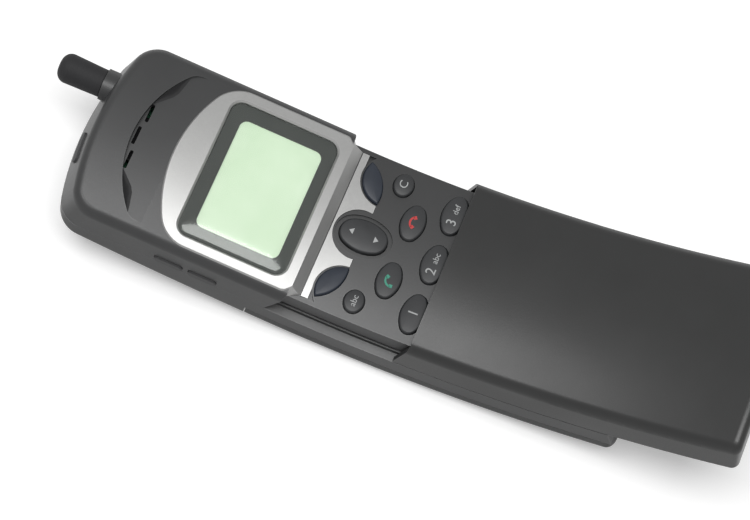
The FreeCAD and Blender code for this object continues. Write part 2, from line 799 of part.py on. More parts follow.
def finish(item, node, arc=0):
    """Name a sub-part, put it in the part's frame and list it."""
    item.Label = node
    place(item, arc)
    parts.append(item)
    return item


# The keys of the deck, row by row: place on the arc and the keys in that row. A key has a name, its
# middle and half sizes, and an outline that grows by a gap.


def key_shape(name, x, half_x, half_y, outline):
    return SimpleNamespace(name=name, x=size_of(x), half_x=half_x, half_y=half_y, outline=outline)


def oval_key(name, x, half_length, half_width):
    return key_shape(name, x, half_length, half_width,
                     lambda grow: oval_outline(half_length + grow, half_width + grow,
                                               s.digit_end + grow, x))


def soft_key(name, side):
    return key_shape(name, soft_column * side, soft_half_x, s.soft_half_y,
                     lambda grow: soft_outline(side, grow))


def digit(name, column):
    return oval_key("key_" + name, digit_column * column, s.digit_half_length, s.digit_half_width)


def side_key(name, side):
    return oval_key(name, side_column * side, s.side_half_length, s.side_half_width)


def call_key(name, side):
    return oval_key(name, s.call_column * side, s.call_half_length, s.call_half_width)


def scroll_outline(grow):
    return oval_outline(s.scroll_half_length + grow, s.scroll_half_width + grow,
                        s.scroll_end + grow, upright=True)


def key_rows():
    rows = [
        (s.soft_row, [soft_key("soft_key_left", -1), soft_key("soft_key_right", 1)]),
        (s.scroll_row, [key_shape("scroll_key", 0, s.scroll_half_width, s.scroll_half_length,
                                  scroll_outline)]),
        (s.side_row, [side_key("abc_key", -1), side_key("clear_key", 1)]),
        (s.call_row, [call_key("call_key", -1), call_key("end_key", 1)]),
    ]
    digits = [("1", "2", "3"), ("4", "5", "6"), ("7", "8", "9"), ("star", "0", "hash")]
    for row, names in enumerate(digits):
        keys = [digit(name, column - 1) for column, name in enumerate(names)]
        rows.append((s.digit_row + s.digit_pitch * row, keys))
    return rows


ROWS = key_rows()
SCREWS = [(s.upper_screw_x, -s.upper_screw_up), (s.lower_screw_x, s.lower_screw_arc)]


def front_cover():
    piece = Piece("front_cover")
    head = piece.tilted(s.end_lean)
    draw(head, arched_outline(half_body, 0, leaning_top(), s.corner_round, s.top_bow))
    piece.pad(head, leaning_length())
    trim_head(piece)
    cut_step(piece)
    deck = piece.section(-slant * s.shell_split)
    draw(deck, box_outline(-half_deck, half_deck, level(s.shell_split), level(s.deck_drop)))
    piece.sweep(deck, s.deck_arc + slant * s.shell_split)
    slant_end(piece, s.deck_arc, s.deck_drop, s.shell_split)
    piece.round_edges(s.edge_round, lambda edge: all_near(edge, flat_depth_of, 0)
                      and edge.CenterOfMass.y > 1)
    hollow_front(piece)
    cut_tracks(piece)
    cut_wall_keys(piece)
    add_front_posts(piece)
    cut_dish(piece)
    cut_display(piece)
    cut_keys(piece)


def leaning_top():
    """Top end of the head in a plan that is tilted by the lean of the top end."""
    return s.head_length * cosine(s.end_lean)


def leaning_length():
    """How far the head reaches below that plan."""
    return s.head_length * sine(s.end_lean) + (s.shell_split + 1) / cosine(s.end_lean)


def trim_head(piece):
    """Cut the leaning head flat at its front and at the parting line."""
    slab = piece.side()
    far = s.head_length + 10
    for top, bottom in ((-s.head_length / 2, 0), (s.shell_split, s.body_depth * 2)):
        draw(slab, box_outline(-10, far, level(bottom), level(top)))
    piece.pocket(slab, both=True)


def cut_step(piece):
    """The head ends in a step that leans towards the top with depth, outside the key deck."""
    low = s.shell_split + 1
    wedge = piece.side(x=half_deck)
    draw(wedge, [(0, level(0)), (0, level(low)), (slant * low, level(low))])
    piece.mirror(piece.pocket(wedge, flip=True))
    lip = piece.side()
    draw(lip, [(0, level(0)), (0, level(s.deck_drop)), (slant * s.deck_drop, level(s.deck_drop))])
    piece.pocket(lip, both=True)


def slant_end(piece, arc, top, bottom):
    """Cut the bottom end of an arc piece to the lean of the slide cover's ends."""
    sketch = piece.side(arc)
    high = top - 2
    low = bottom + 2
    draw(sketch, [(slant * (high - top), level(high)), (-20, level(high)),
                  (-20, level(low)), (slant * (low - top), level(low))])
    piece.pocket(sketch, both=True)


def cut_dish(piece):
    """The ear dish slopes down from the display's surround to a bowed step."""
    sketch = piece.tilted(-s.dish_lean, s.dish_hinge)
    draw(sketch, arched_outline(half_body - s.dish_inset, -8, s.dish_reach, s.dish_corner, s.dish_bow))
    piece.pocket(sketch, flip=True)
    slots = piece.plan(0)
    for column in (-1, 0, 1):
        drop = s.ear_slot_pitch * s.ear_slot_pitch * abs(column) / (2 * s.dish_bow)
        draw(slots, round_box_outline(s.ear_slot_length / 2, s.ear_slot_width / 2,
                                      s.ear_slot_width * 0.4, s.ear_slot_pitch * column,
                                      s.ear_middle - drop))
    piece.pocket(slots, s.front_skin + 1)


def cut_display(piece):
    """A shallow seat for the surround, a seat for the mask and the display's opening."""
    seat = piece.plan(0)
    draw(seat, bezel_outline(s.seam))
    draw_over_step(seat)
    piece.pocket(seat, seat_depth())
    mask = piece.plan(0)
    draw(mask, window_outline(-s.seam))
    piece.pocket(mask, seat_depth() + s.mask_sheet + s.seam)
    opening = piece.plan(0)
    draw(opening, view_outline(s.glass_margin / 2))
    piece.pocket(opening, s.front_skin + 1)


def draw_over_step(seat):
    """Open the seat towards the key deck, for the lip that slopes down to it."""
    notch = bezel_lip_half + s.seam
    draw(seat, box_outline(-notch, notch, -1, s.bezel_foot - s.seam))


def seat_depth():
    return s.bezel_sheet - s.bezel_proud + s.seam


def window_outline(grow=0):
    return round_box_outline(s.window_width / 2 + grow, s.window_height / 2 + grow,
                             s.window_corner + grow, 0, s.display_middle)


def view_outline(grow=0):
    return round_box_outline(s.view_width / 2 + grow, s.view_height / 2 + grow,
                             s.view_corner + grow, 0, s.display_middle)


def hollow_front(piece):
    """The rooms behind the head's front and under the deck's skin."""
    riser = 1.5
    shoulder = 6.2
    corners = head_outline(shoulder, s.side_wall, s.front_skin)
    neck = [(-track_room, riser), (track_room, riser), (track_room, shoulder)]
    head = piece.plan(s.shell_split)
    draw(head, neck + corners[1:] + [(-half_body + s.side_wall, shoulder), (-track_room, shoulder)])
    piece.pocket(head, s.shell_split - s.front_skin, flip=True)
    start = -riser - 0.5
    room = piece.section(start)
    low = s.shell_split + 1
    draw(room, [(-deck_room, level(deck_under)), (-deck_room, level(s.room_step)),
                (-track_room, level(s.room_step)), (-track_room, level(low)),
                (track_room, level(low)), (track_room, level(s.room_step)),
                (deck_room, level(s.room_step)), (deck_room, level(deck_under))])
    piece.cut_sweep(room, s.deck_arc - slant * s.shell_split - start - s.side_wall)


def cut_tracks(piece):
    """A track in each side of the deck for the slide cover's runners."""
    top = s.runner_depth - s.slide_gap
    bottom = s.runner_depth + s.runner_height + s.slide_gap
    inside = half_deck - s.runner_bite - s.slide_gap
    track = piece.section(-2)
    draw(track, box_outline(inside, half_deck + 1, level(bottom), level(top)))
    draw(track, box_outline(-half_deck - 1, -inside, level(bottom), level(top)))
    piece.cut_sweep(track, s.deck_arc + 4)


def cut_wall_keys(piece):
    """Holes in the head's walls for the antenna, the power key and the volume keys."""
    collar_foot = s.head_length - s.side_wall
    collar = piece.end_on(collar_foot)
    draw_circle(collar, s.antenna_x, level(s.antenna_depth), s.collar_radius)
    piece.pad(collar, s.collar_top - collar_foot)
    hole = piece.end_on(collar_foot - 6)
    draw_circle(hole, s.antenna_x, level(s.antenna_depth), s.neck_radius + s.antenna_gap)
    draw(hole, power_outline(s.key_gap))
    piece.pocket(hole, 14)
    volume = piece.side(x=-half_body + s.side_wall + 1)
    for y in (s.volume_up_y, s.volume_down_y):
        draw(volume, volume_outline(y, s.key_gap))
    piece.pocket(volume, s.side_wall + 2)


def power_outline(grow=0):
    return round_box_outline(s.power_half_length + grow, s.power_half_height + grow,
                             s.power_half_height * 0.7, -s.power_x, level(s.power_depth))


def volume_outline(y, grow=0):
    return round_box_outline(s.volume_half_length + grow, s.volume_half_height + grow,
                             s.volume_half_height * 0.7, y, level(s.volume_depth))


def add_front_posts(piece):
    """Posts under the head's front and under the deck that take the case screws."""
    for x, arc in SCREWS:
        post = piece.plan(s.shell_split, arc)
        hole = piece.plan(s.shell_split + 1, arc)
        for side in (-1, 1):
            draw_circle(post, x * side, 0, s.post_radius)
            draw_circle(hole, x * side, 0, s.screw_radius + s.seam)
        piece.pad(post, s.shell_split - s.front_skin - 0.5, flip=False)
        piece.pocket(hole, s.shell_split - s.screw_tip_depth + 1 + s.seam, flip=True)


def cut_keys(piece):
    """A seat for the trim and a hole for every key."""
    seat = piece.plan(s.deck_drop - 1, s.trim_row)
    draw(seat, trim_outline(s.seam))
    piece.pocket(seat, s.trim_sheet - s.trim_proud + s.seam + 1)
    dish = piece.plan(s.deck_drop - 1, s.scroll_row)
    draw(dish, scroll_outline(s.scroll_dish_margin))
    piece.pocket(dish, s.scroll_dish_depth + 1)
    for arc, keys in ROWS:
        holes = piece.plan(s.deck_drop - 1, arc)
        for key in keys:
            draw(holes, key.outline(s.key_gap))
        piece.pocket(holes, s.deck_skin + 2)


def rear_cover():
    piece = Piece("rear_cover")
    top = s.shell_split + s.seam
    head = piece.plan(top)
    draw(head, head_outline(s.bay_top, 0, s.shell_split))
    piece.pad(head, s.body_depth - top + 1)
    taper_back(piece)
    piece.round_edges(s.back_round, lambda edge: on_tapered_back(edge) and edge.CenterOfMass.y > 10)
    start = -s.bay_top - 1.2
    frame = piece.section(start)
    draw(frame, box_outline(-half_body, half_body, level(floor_depth), level(top)))
    piece.sweep(frame, s.body_arc - start)
    ledge = piece.side()
    draw(ledge, box_outline(0, -start + 2, level(top), level(top - 2)))
    piece.pocket(ledge, both=True)
    hollow_rear(piece)
    cut_latch_slot(piece)
    cut_connector_slot(piece)
    cut_floor_windows(piece)
    add_rear_posts(piece)


def back_radius():
    """The head's back is an arc that loses the taper over the head's length."""
    return s.head_length * s.head_length / (2 * s.head_taper)


def back_depth(y):
    return s.body_depth - y * y / (2 * back_radius())


def taper_back(piece):
    sketch = piece.side()
    far = s.head_length + 6
    low = s.body_depth + 3
    draw(sketch, [(0, level(s.body_depth), back_radius()), (far, level(back_depth(far))),
                  (far, level(low)), (0, level(low))])
    piece.pocket(sketch, both=True)


def on_tapered_back(edge):
    return all(abs(flat_depth_of(point) - back_depth(size_of(point.y)).value) < 0.1
               for point in samples(edge))


def hollow_rear(piece):
    """The room behind the head, the deeper room of the catch and the room over the battery bay."""
    top = s.shell_split + s.seam
    wall_y = s.bay_top + s.side_wall
    head = piece.plan(top)
    draw(head, head_outline(wall_y, s.side_wall, s.shell_split))
    piece.pocket(head, head_room_depth - top)
    catch = piece.plan(head_room_depth - 1)
    half = s.latch_half + s.latch_margin + s.slide_gap
    draw(catch, box_outline(-half, half, wall_y, latch_room_end()))
    piece.pocket(catch, latch_room_depth - head_room_depth + 1)
    start = -s.bay_top - s.side_wall - 1
    room = piece.section(start)
    draw(room, box_outline(-deck_room, deck_room, level(floor_top), level(top - 1)))
    piece.cut_sweep(room, s.rear_room - start)


def latch_room_end():
    return s.latch_low + s.latch_length + s.latch_travel + s.latch_margin + s.slide_gap


def cut_latch_slot(piece):
    """The slot that the catch's button moves in and the slot for its tongue."""
    gap = s.battery_gap
    slot = piece.plan(latch_room_depth - 1)
    draw(slot, box_outline(-s.latch_half - gap, s.latch_half + gap, s.latch_low - gap,
                           s.latch_low + s.latch_length + s.latch_travel + gap))
    piece.pocket(slot, 5)
    tongue = piece.end_on(s.bay_top - 1)
    low = latch_room_depth
    draw(tongue, box_outline(-s.tongue_half - gap, s.tongue_half + gap, level(low),
                             level(low - s.latch_plate - gap * 2)))
    piece.pocket(tongue, s.side_wall + 2)


def cut_connector_slot(piece):
    """The slot for the connector in the bottom end."""
    half = s.plug_height / 2 + s.seam
    across = s.plug_width / 2 + s.seam
    slot = piece.section(s.body_arc)
    draw(slot, box_outline(-across, across, level(plug_depth + half), level(plug_depth - half)))
    piece.pocket(slot, s.plug_length + 2 * s.seam)


def cut_floor_windows(piece):
    """Windows in the bay's floor for the card reader and the battery contacts."""
    for arc, width, length in ((s.sim_arc, s.sim_width, s.sim_length),
                               (s.contact_arc, s.contact_width, s.contact_length)):
        window = piece.plan(floor_top - 1, arc)
        draw(window, box_outline(-width / 2, width / 2, -length / 2, length / 2))
        piece.pocket(window, s.floor_sheet + 2)


def add_rear_posts(piece):
    """Posts on the bay's floor, each with a hole and a sunk seat for a screw's head."""
    top = s.shell_split + s.seam
    for x, arc in SCREWS:
        post = piece.plan(top, arc)
        hole = piece.plan(top - 1, arc)
        seat = piece.plan(floor_depth + 1, arc)
        for side in (-1, 1):
            draw_circle(post, x * side, 0, s.post_radius)
            draw_circle(hole, x * side, 0, s.screw_radius + s.seam * 2)
            draw_circle(seat, x * side, 0, s.screw_head_radius + s.seam)
        piece.pad(post, floor_top - top + 0.2)
        piece.pocket(hole, floor_depth - top + 3)
        piece.pocket(seat, s.screw_head_height + s.seam * 2 + 1, flip=True)


def slide_cover():
    piece = Piece("slide_cover", s.cover_out)
    start = -slant * s.cover_depth - 1
    low = s.cover_depth + 2
    shell = piece.section(start)
    draw(shell, arch_section(half_body, s.cover_depth, size_of(0), s.edge_round))
    piece.sweep(shell, s.cover_length - start)
    mouth = piece.side()
    draw(mouth, [(slant * -2, level(-2)), (20, level(-2)), (20, level(low)), (slant * low, level(low))])
    piece.pocket(mouth, both=True)
    slant_end(piece, s.cover_length, size_of(0), s.cover_depth)
    piece.round_edges(s.cover_end_round, on_cover_end)
    straight = s.cover_length - slant * s.cover_depth - s.cover_wall - 0.5
    room = piece.section(start)
    draw(room, box_outline(-cover_inside, cover_inside, level(low), level(s.cover_skin)))
    piece.cut_sweep(room, straight - start)
    end = piece.side(s.cover_length, x=-cover_inside)
    draw(end, [(end_face(s.cover_skin), level(s.cover_skin)),
               (end_face(low) + 1, level(s.cover_skin)), (end_face(low) + 1, level(low)),
               (end_face(low), level(low))])
    piece.pocket(end, cover_inside * 2, flip=True)
    bevel_start(piece)
    holes = piece.section(s.cover_length)
    for column in (-1, 0, 1):
        draw_circle(holes, s.sound_pitch * column, level(s.sound_depth), s.sound_hole)
    piece.pocket(holes, 6)


def bevel_start(piece):
    """The inside of the start is bevelled, to close over the display surround's lip."""
    bevel = piece.side(x=-cover_inside)
    low = s.cover_lip + s.cover_bevel
    draw(bevel, [(1, level(s.cover_lip)), (0, level(s.cover_lip)), (-s.cover_bevel, level(low)),
                 (1, level(low))])
    piece.pocket(bevel, cover_inside * 2, flip=True)


def arch_section(half, bottom, top, radius):
    """A section with two round corners towards the front."""
    return [
        (-half, level(bottom)),
        (half, level(bottom)),
        (half, level(top + radius), radius),
        (half - radius, level(top)),
        (-half + radius, level(top), radius),
        (-half, level(top + radius)),
    ]


def end_face(depth):
    """How far the inside of the slide cover's end wall lies above the end of its front."""
    return s.cover_wall + slant * depth


def on_cover_end(edge):
    """The edges of the end wall, apart from its rim."""
    angle = s.cover_length.value / s.arc_radius.value
    for point in samples(edge):
        along = point.y * math.cos(angle) - point.z * math.sin(angle)
        depth = -point.z * math.cos(angle) - point.y * math.sin(angle) - s.arc_radius.value
        if abs(along - slant.value * depth) > NEAR:
            return False
    return depth_of(edge.CenterOfMass) < s.cover_depth.value - 0.5


def plan_piece(node, outline, depth, sheet, arc=0):
    """A flat piece seen from the front."""
    piece = Piece(node, arc)
    sketch = piece.plan(depth)
    draw(sketch, outline)
    piece.pad(sketch, sheet)
    return piece


def strip(node, half, top, sheet, start, end, arc=0):
    """A strip that follows the arc."""
    piece = Piece(node, arc)
    section = piece.section(start)
    draw(section, box_outline(-half, half, level(top + sheet), level(top)))
    piece.sweep(section, end - start)
    return piece


def slide_fittings():
    """The runners inside the slide cover."""
    piece = Piece("slide_runners", s.cover_out)
    piece.body.AllowCompound = True
    section = piece.section(-s.runner_start)
    top = level(s.runner_depth)
    bottom = level(s.runner_depth + s.runner_height)
    inside = half_deck - s.runner_bite
    outside = cover_inside - s.seam
    draw(section, box_outline(inside, outside, bottom, top))
    draw(section, box_outline(-outside, -inside, bottom, top))
    piece.sweep(section, s.runner_length)


def microphone():
    """The capsule in its boot behind the slide cover's end wall, and the strip that feeds it."""
    face = end_face(s.sound_depth) + s.seam
    high = s.boot_half * sine(s.lean)
    deep = s.boot_half * cosine(s.lean)
    block_stock = stock("Box", "boot_block", s.cover_length, -s.boot_half, face + high,
                        s.sound_depth + deep, s.lean, Length=s.boot_half * 2,
                        Width=s.boot_height, Height=s.boot_half * 2)
    inward = s.lean - 90
    bore = stock("Cylinder", "boot_bore", s.cover_length, 0, face - cosine(s.lean),
                 s.sound_depth + sine(s.lean), inward, Radius=s.mic_radius + s.seam,
                 Height=s.mic_height + s.seam + 1)
    less("mic_boot", block_stock, bore, s.cover_out)
    group("microphone", [stock("Cylinder", "capsule", s.cover_length, 0, face, s.sound_depth, inward,
                               Radius=s.mic_radius, Height=s.mic_height)], s.cover_out)
    flex = Piece("mic_flex", s.cover_out)
    section = flex.section(8)
    top = s.cover_skin + s.seam
    middle = cover_inside - s.flex_inset
    draw(section, box_outline(middle - s.flex_width / 2, middle + s.flex_width / 2,
                              level(top + s.flex_sheet), level(top)))
    flex.sweep(section, s.cover_length - 12)


def display():
    bezel = plan_piece("display_bezel", bezel_outline(0), -s.bezel_proud, s.bezel_sheet)
    opening = bezel.plan(-s.bezel_proud)
    draw(opening, window_outline(s.seam))
    bezel.pocket(opening)
    lip = bezel.side(x=-bezel_lip_half)
    foot = s.deck_drop - s.seam
    back = s.bezel_sheet - s.bezel_proud
    draw(lip, [(1, level(-s.bezel_proud)), (-s.bezel_proud, level(-s.bezel_proud)),
               (-s.bezel_roll, level(foot - 0.2)), (-s.bezel_roll, level(foot)),
               (0, level(foot)), (0, level(back)), (1, level(back))])
    bezel.pad(lip, bezel_lip_half * 2, flip=False)
    bezel.bevel_edges(s.bezel_bevel, lambda edge: all_near(edge, flat_depth_of, -s.bezel_proud)
                      and edge.CenterOfMass.y > 0)
    window_depth = s.bezel_sheet - s.bezel_proud - s.window_sheet
    window = plan_piece("display_window", window_outline(0), window_depth, s.window_sheet)
    window.bevel_edges(0.15, lambda edge: all_near(edge, flat_depth_of, window_depth))
    mask_depth = s.bezel_sheet - s.bezel_proud + s.seam
    mask = Piece("display_mask")
    ring = mask.plan(mask_depth)
    draw(ring, window_outline(-s.seam * 2))
    draw(ring, view_outline(0))
    mask.pad(ring, s.mask_sheet)
    width = s.view_width + s.glass_margin * 2
    height = s.view_height + s.glass_margin * 2
    glass_back = s.front_skin + s.seam + s.glass_sheet
    group("lcd_glass", [block("crystal", width, height, s.glass_sheet, y=s.display_middle,
                              depth=glass_back)])
    guide_back = glass_back + s.seam + s.guide_sheet
    group("light_guide", [block("guide", width + 1, height, s.guide_sheet, y=s.display_middle,
                                depth=guide_back)])
    flex_y = s.display_middle + height / 2 + 0.4
    flex_height = s.head_board_depth - s.front_skin - s.seam * 4
    group("display_flex", [block("flex", 20, 0.3, flex_height, y=flex_y,
                                 depth=s.head_board_depth - s.seam)])


def keypad():
    trim = Piece("keypad_trim", s.trim_row)
    sheet = trim.plan(s.deck_drop - s.trim_proud)
    draw(sheet, trim_outline(0))
    trim.pad(sheet, s.trim_sheet)
    for arc, keys in ROWS:
        for key in keys:
            key_top(key, arc)
    strip("keypad_mat", track_room, mat_top, s.mat_sheet, s.mat_start, s.mat_end)
    snap_domes()
    strip("keypad_board", deck_room - s.battery_gap, board_top, s.board_sheet, s.mat_start,
          s.mat_end + 1)


def snap_domes():
    """A dome under each key, and one under each end of the scroll key."""
    domes = []
    for arc, keys in ROWS:
        for key in keys:
            for step in (-1, 1) if key.name == "scroll_key" else (0,):
                dome = stock("Prism", "dome", arc + s.dome_step * step, key.x, 0,
                             board_top - s.seam / 2, Circumradius=s.dome_radius,
                             Height=s.dome_sheet - s.seam / 2)
                dome.Polygon = 8
                domes.append(dome)
    group("snap_domes", domes)


def key_top(key, arc):
    """A key that stands in its hole, with an ear at each side under the deck."""
    top = s.deck_drop - s.key_proud
    piece = Piece(key.name, arc)
    face = piece.plan(top)
    draw(face, key.outline(size_of(0)))
    piece.pad(face, foot_bottom - top)
    ears = piece.plan(foot_bottom - s.key_foot)
    reach = key.half_x + s.key_ear
    draw(ears, box_outline(key.x - reach, key.x + reach, -s.key_ear_half, s.key_ear_half))
    piece.pad(ears, s.key_foot)
    piece.bevel_edges(s.key_bevel, lambda edge: all_near(edge, flat_depth_of, top))


def boards():
    bottom = main_depth + s.board_sheet
    group("main_board", [block("main", track_room * 2 - 0.6, s.main_length, s.board_sheet,
                               s.main_middle, depth=bottom)])
    can_back = reader_top - s.can_gap
    height = can_back - bottom - s.seam
    radio_y = (s.main_length - s.radio_can_length) / 2 - s.can_margin
    logic_y = radio_y - (s.radio_can_length + s.logic_can_length) / 2 - s.can_step
    group("shield_cans", [
        block("radio_can", s.radio_can_width, s.radio_can_length, height, s.main_middle, 0,
              radio_y, can_back),
        block("logic_can", s.logic_can_width, s.logic_can_length, height, s.main_middle,
              s.logic_can_x, logic_y, can_back),
    ])
    length = s.head_length - s.head_board_start - 7
    group("head_board", [block("head", deck_room * 2 - 1.2, length, s.board_sheet,
                               y=s.head_board_start + length / 2,
                               depth=s.head_board_depth + s.board_sheet)])
    group("board_flex", [block("bridge", 14, 17, 0.3, y=2.5, depth=12.6)])
    reader = block("reader", s.sim_width - 0.6, s.sim_length - 0.6, s.reader_sheet, s.sim_arc,
                   depth=floor_depth - s.battery_gap)
    slot = block("card_slot", s.sim_width - 3, s.sim_length + 2, 1, s.sim_arc,
                 depth=floor_depth - s.battery_gap - 0.8)
    less("sim_reader", reader, slot)


def sounders():
    gasket_back = s.front_skin + s.seam + s.gasket_sheet
    y = s.ear_middle - 1.9
    ring = disc("ear_ring", s.ear_radius, s.gasket_sheet, y=y, depth=gasket_back)
    hole = disc("ear_hole", s.ear_radius - 1.5, s.gasket_sheet * 3, y=y,
                depth=gasket_back + s.gasket_sheet)
    less("earpiece_gasket", ring, hole)
    rim = disc("ear_rim", s.ear_radius, s.ear_height * 0.4, y=y,
               depth=gasket_back + s.seam + s.ear_height * 0.4)
    can = disc("ear_can", s.ear_radius * 0.8, s.ear_height * 0.9, y=y,
               depth=gasket_back + s.seam + s.ear_height)
    finish(joined("ear", [rim, can]), "earpiece_capsule")
    group("buzzer", [disc("ringer", 5, 3.1, x=-11, y=35, depth=s.head_board_depth - s.seam)])


def antenna():
    piece = Piece("antenna")
    sketch = piece.side(x=s.antenna_x)
    bind(sketch, "AttachmentOffset.Base.y", level(s.antenna_depth))
    start = s.antenna_foot - s.stem_length
    shoulder = s.collar_top + s.antenna_gap
    tip_round = 2.6
    draw(sketch, [
        (start, 0), (s.antenna_top, 0), (s.antenna_top, s.antenna_tip_radius - tip_round, tip_round),
        (s.antenna_top - tip_round, s.antenna_tip_radius), (shoulder, s.antenna_radius),
        (shoulder, s.neck_radius), (s.antenna_foot, s.neck_radius), (s.antenna_foot, s.stem_radius),
        (start, s.stem_radius),
    ])
    piece.spin(sketch)
    ring = stock("Cylinder", "ring", 0, s.antenna_x, start + 0.4, s.antenna_depth, size_of(-90),
                 Radius=2.9, Height=s.stem_length - 0.8)
    hole = stock("Cylinder", "ring_hole", 0, s.antenna_x, start - 1, s.antenna_depth, size_of(-90),
                 Radius=s.stem_radius + s.seam, Height=s.stem_length + 2)
    less("antenna_ferrule", ring, hole)


def connector():
    piece = Piece("system_connector")
    body = piece.section(s.body_arc)
    draw(body, box_outline(-s.plug_width / 2, s.plug_width / 2, level(plug_depth + s.plug_height / 2),
                           level(plug_depth - s.plug_height / 2)))
    piece.pad(body, s.plug_length)
    bore = piece.section(s.body_arc)
    draw_circle(bore, 0, level(plug_depth), s.socket_radius)
    piece.pocket(bore, s.socket_length)
    slots = piece.section(s.body_arc)
    half = s.contact_slot_height / 2
    for side in (-1, 1):
        draw(slots, box_outline(s.contact_slot_x * side - s.contact_slot_length / 2,
                                s.contact_slot_x * side + s.contact_slot_length / 2,
                                level(plug_depth + half), level(plug_depth - half)))
    piece.pocket(slots, s.contact_slot_depth)
    blades = []
    for side in (-1, 1):
        for step in (-1, 1):
            x = s.contact_slot_x * side + s.contact_slot_length / 4 * step
            blades.append(block("blade", 1.6, s.contact_slot_depth - 0.8, 0.5, s.body_arc, x,
                                s.contact_slot_depth / 2 + 0.2, plug_depth + 0.25))
    group("charge_contacts", blades)


def springs_and_screws():
    springs = []
    for column in (-1.5, -0.5, 0.5, 1.5):
        x = column * 3.2
        leaf = block("leaf", 1.6, 3.4, floor_top - s.shell_split, s.contact_arc, x, 0,
                     floor_top + s.seam)
        nose = block("nose", 1.2, 1.6, s.floor_sheet + 0.5, s.contact_arc, x, 0,
                     floor_depth + s.battery_gap / 2)
        springs.append(joined("spring", [leaf, nose]))
    group("battery_springs", springs)
    screws = []
    head_bottom = floor_depth - s.seam
    for x, arc in SCREWS:
        for side in (-1, 1):
            head = disc("head", s.screw_head_radius, s.screw_head_height, arc, x * side, 0, head_bottom)
            shank = disc("shank", s.screw_radius, head_bottom - s.screw_tip_depth - 0.5, arc, x * side,
                         0, head_bottom - 0.5)
            screws.append(joined("screw", [head, shank]))
    group("case_screws", screws)


def battery():
    case = Piece("battery_case")
    end_y = s.bay_top - s.battery_gap
    start = -s.bay_top - 1.2
    tub = case.section(start)
    back = level(s.body_depth - s.back_round)
    draw(tub, [
        (-half_body, level(battery_top)), (-half_body, back, s.back_round),
        (-half_body + s.back_round, level(s.body_depth)),
        (half_body - s.back_round, level(s.body_depth), s.back_round), (half_body, back),
        (half_body, level(battery_top)),
    ])
    case.sweep(tub, s.battery_end - start)
    trim = case.side()
    draw(trim, box_outline(end_y, end_y + 5, level(s.body_depth + 3), level(floor_depth - 2)))
    case.pocket(trim, both=True)
    case.round_edges(s.battery_end_round, on_battery_end)
    inside = half_body - s.battery_wall
    room_start = -s.bay_top + s.battery_gap + s.battery_wall + 1
    room = case.section(room_start)
    draw(room, box_outline(-inside, inside, level(s.body_depth - s.battery_skin),
                           level(battery_top - 1)))
    case.cut_sweep(room, s.battery_end - s.battery_wall - room_start)
    flat = case.plan(s.body_depth - s.rest_cut, s.rest_arc)
    draw(flat, box_outline(-half_body - 1, half_body + 1, -30, 30))
    case.pocket(flat, 6)
    grip = case.plan(s.body_depth - s.grip_depth, s.grip_arc)
    for row in (-2, -1, 0, 1, 2):
        y = s.grip_pitch * row
        draw(grip, box_outline(-s.grip_half, s.grip_half, y - s.grip_groove, y + s.grip_groove))
    case.pocket(grip, 3)
    seat = case.end_on(end_y - s.tongue_seat)
    half = s.tongue_half + s.battery_gap + 0.1
    draw(seat, box_outline(-half, half, level(latch_room_depth + 0.3),
                           level(latch_room_depth - s.latch_plate - 0.4)))
    case.pocket(seat, 3)
    battery_inside(inside, room_start)


def on_battery_end(edge):
    """The edges of the battery's bottom end, apart from its rim."""
    angle = s.battery_end.value / s.arc_radius.value
    for point in samples(edge):
        if abs(point.y * math.cos(angle) - point.z * math.sin(angle)) > NEAR:
            return False
    return depth_of(edge.CenterOfMass) > battery_top.value + 0.5


def battery_inside(inside, room_start):
    """The battery's inner lid with its contacts, and its cells."""
    end = s.battery_end - s.battery_wall
    lid = strip("battery_lid", inside - s.seam * 2, battery_top + s.seam, s.lid_sheet,
                room_start + s.seam * 2, end - s.seam * 2)
    windows = lid.plan(floor_depth, s.contact_arc)
    pads = []
    for column in (-1.5, -0.5, 0.5, 1.5):
        x = size_of(column * 3.2)
        draw(windows, box_outline(x - 1.2, x + 1.2, -2, 2))
        pads.append(block("pad", 2, 3.6, 0.6, s.contact_arc, x, 0, battery_top + s.lid_sheet - 0.1))
    lid.pocket(windows, 3)
    group("battery_pads", pads)
    depth = battery_top + s.lid_sheet + s.seam * 2 + s.cell_height
    cells = [block("cell", s.cell_width, s.cell_length, s.cell_height,
                   s.cell_first + s.cell_pitch * index, 0, 0, depth) for index in range(3)]
    group("battery_cells", cells)


def battery_latch():
    piece = Piece("battery_latch")
    plate_back = latch_room_depth - s.seam
    plate_top = plate_back - s.latch_plate
    low = s.latch_low - s.latch_margin
    high = s.latch_low + s.latch_length + s.latch_margin
    half = s.latch_half + s.latch_margin
    tip = s.bay_top - s.battery_gap - s.tongue_bite
    plate = piece.plan(plate_top)
    draw(plate, [(-s.tongue_half, tip), (s.tongue_half, tip), (s.tongue_half, low), (half, low),
                 (half, high), (-half, high), (-half, low), (-s.tongue_half, low)])
    piece.pad(plate, s.latch_plate)
    face = s.body_depth - 0.6
    button = piece.plan(plate_back)
    draw(button, box_outline(-s.latch_half, s.latch_half, s.latch_low, s.latch_low + s.latch_length))
    piece.pad(button, face - plate_back)
    grooves = piece.plan(face)
    for row in (1, 2, 3):
        y = s.latch_low + s.latch_length / 4 * row
        draw(grooves, box_outline(-s.latch_half + 1.5, s.latch_half - 1.5, y - 0.35, y + 0.35))
    piece.pocket(grooves, 0.5, flip=True)
    piece.round_edges(0.5, lambda edge: upright(edge) and edge.CenterOfMass.z < level(plate_back).value
                      and abs(edge.CenterOfMass.x) > s.latch_half.value - NEAR)


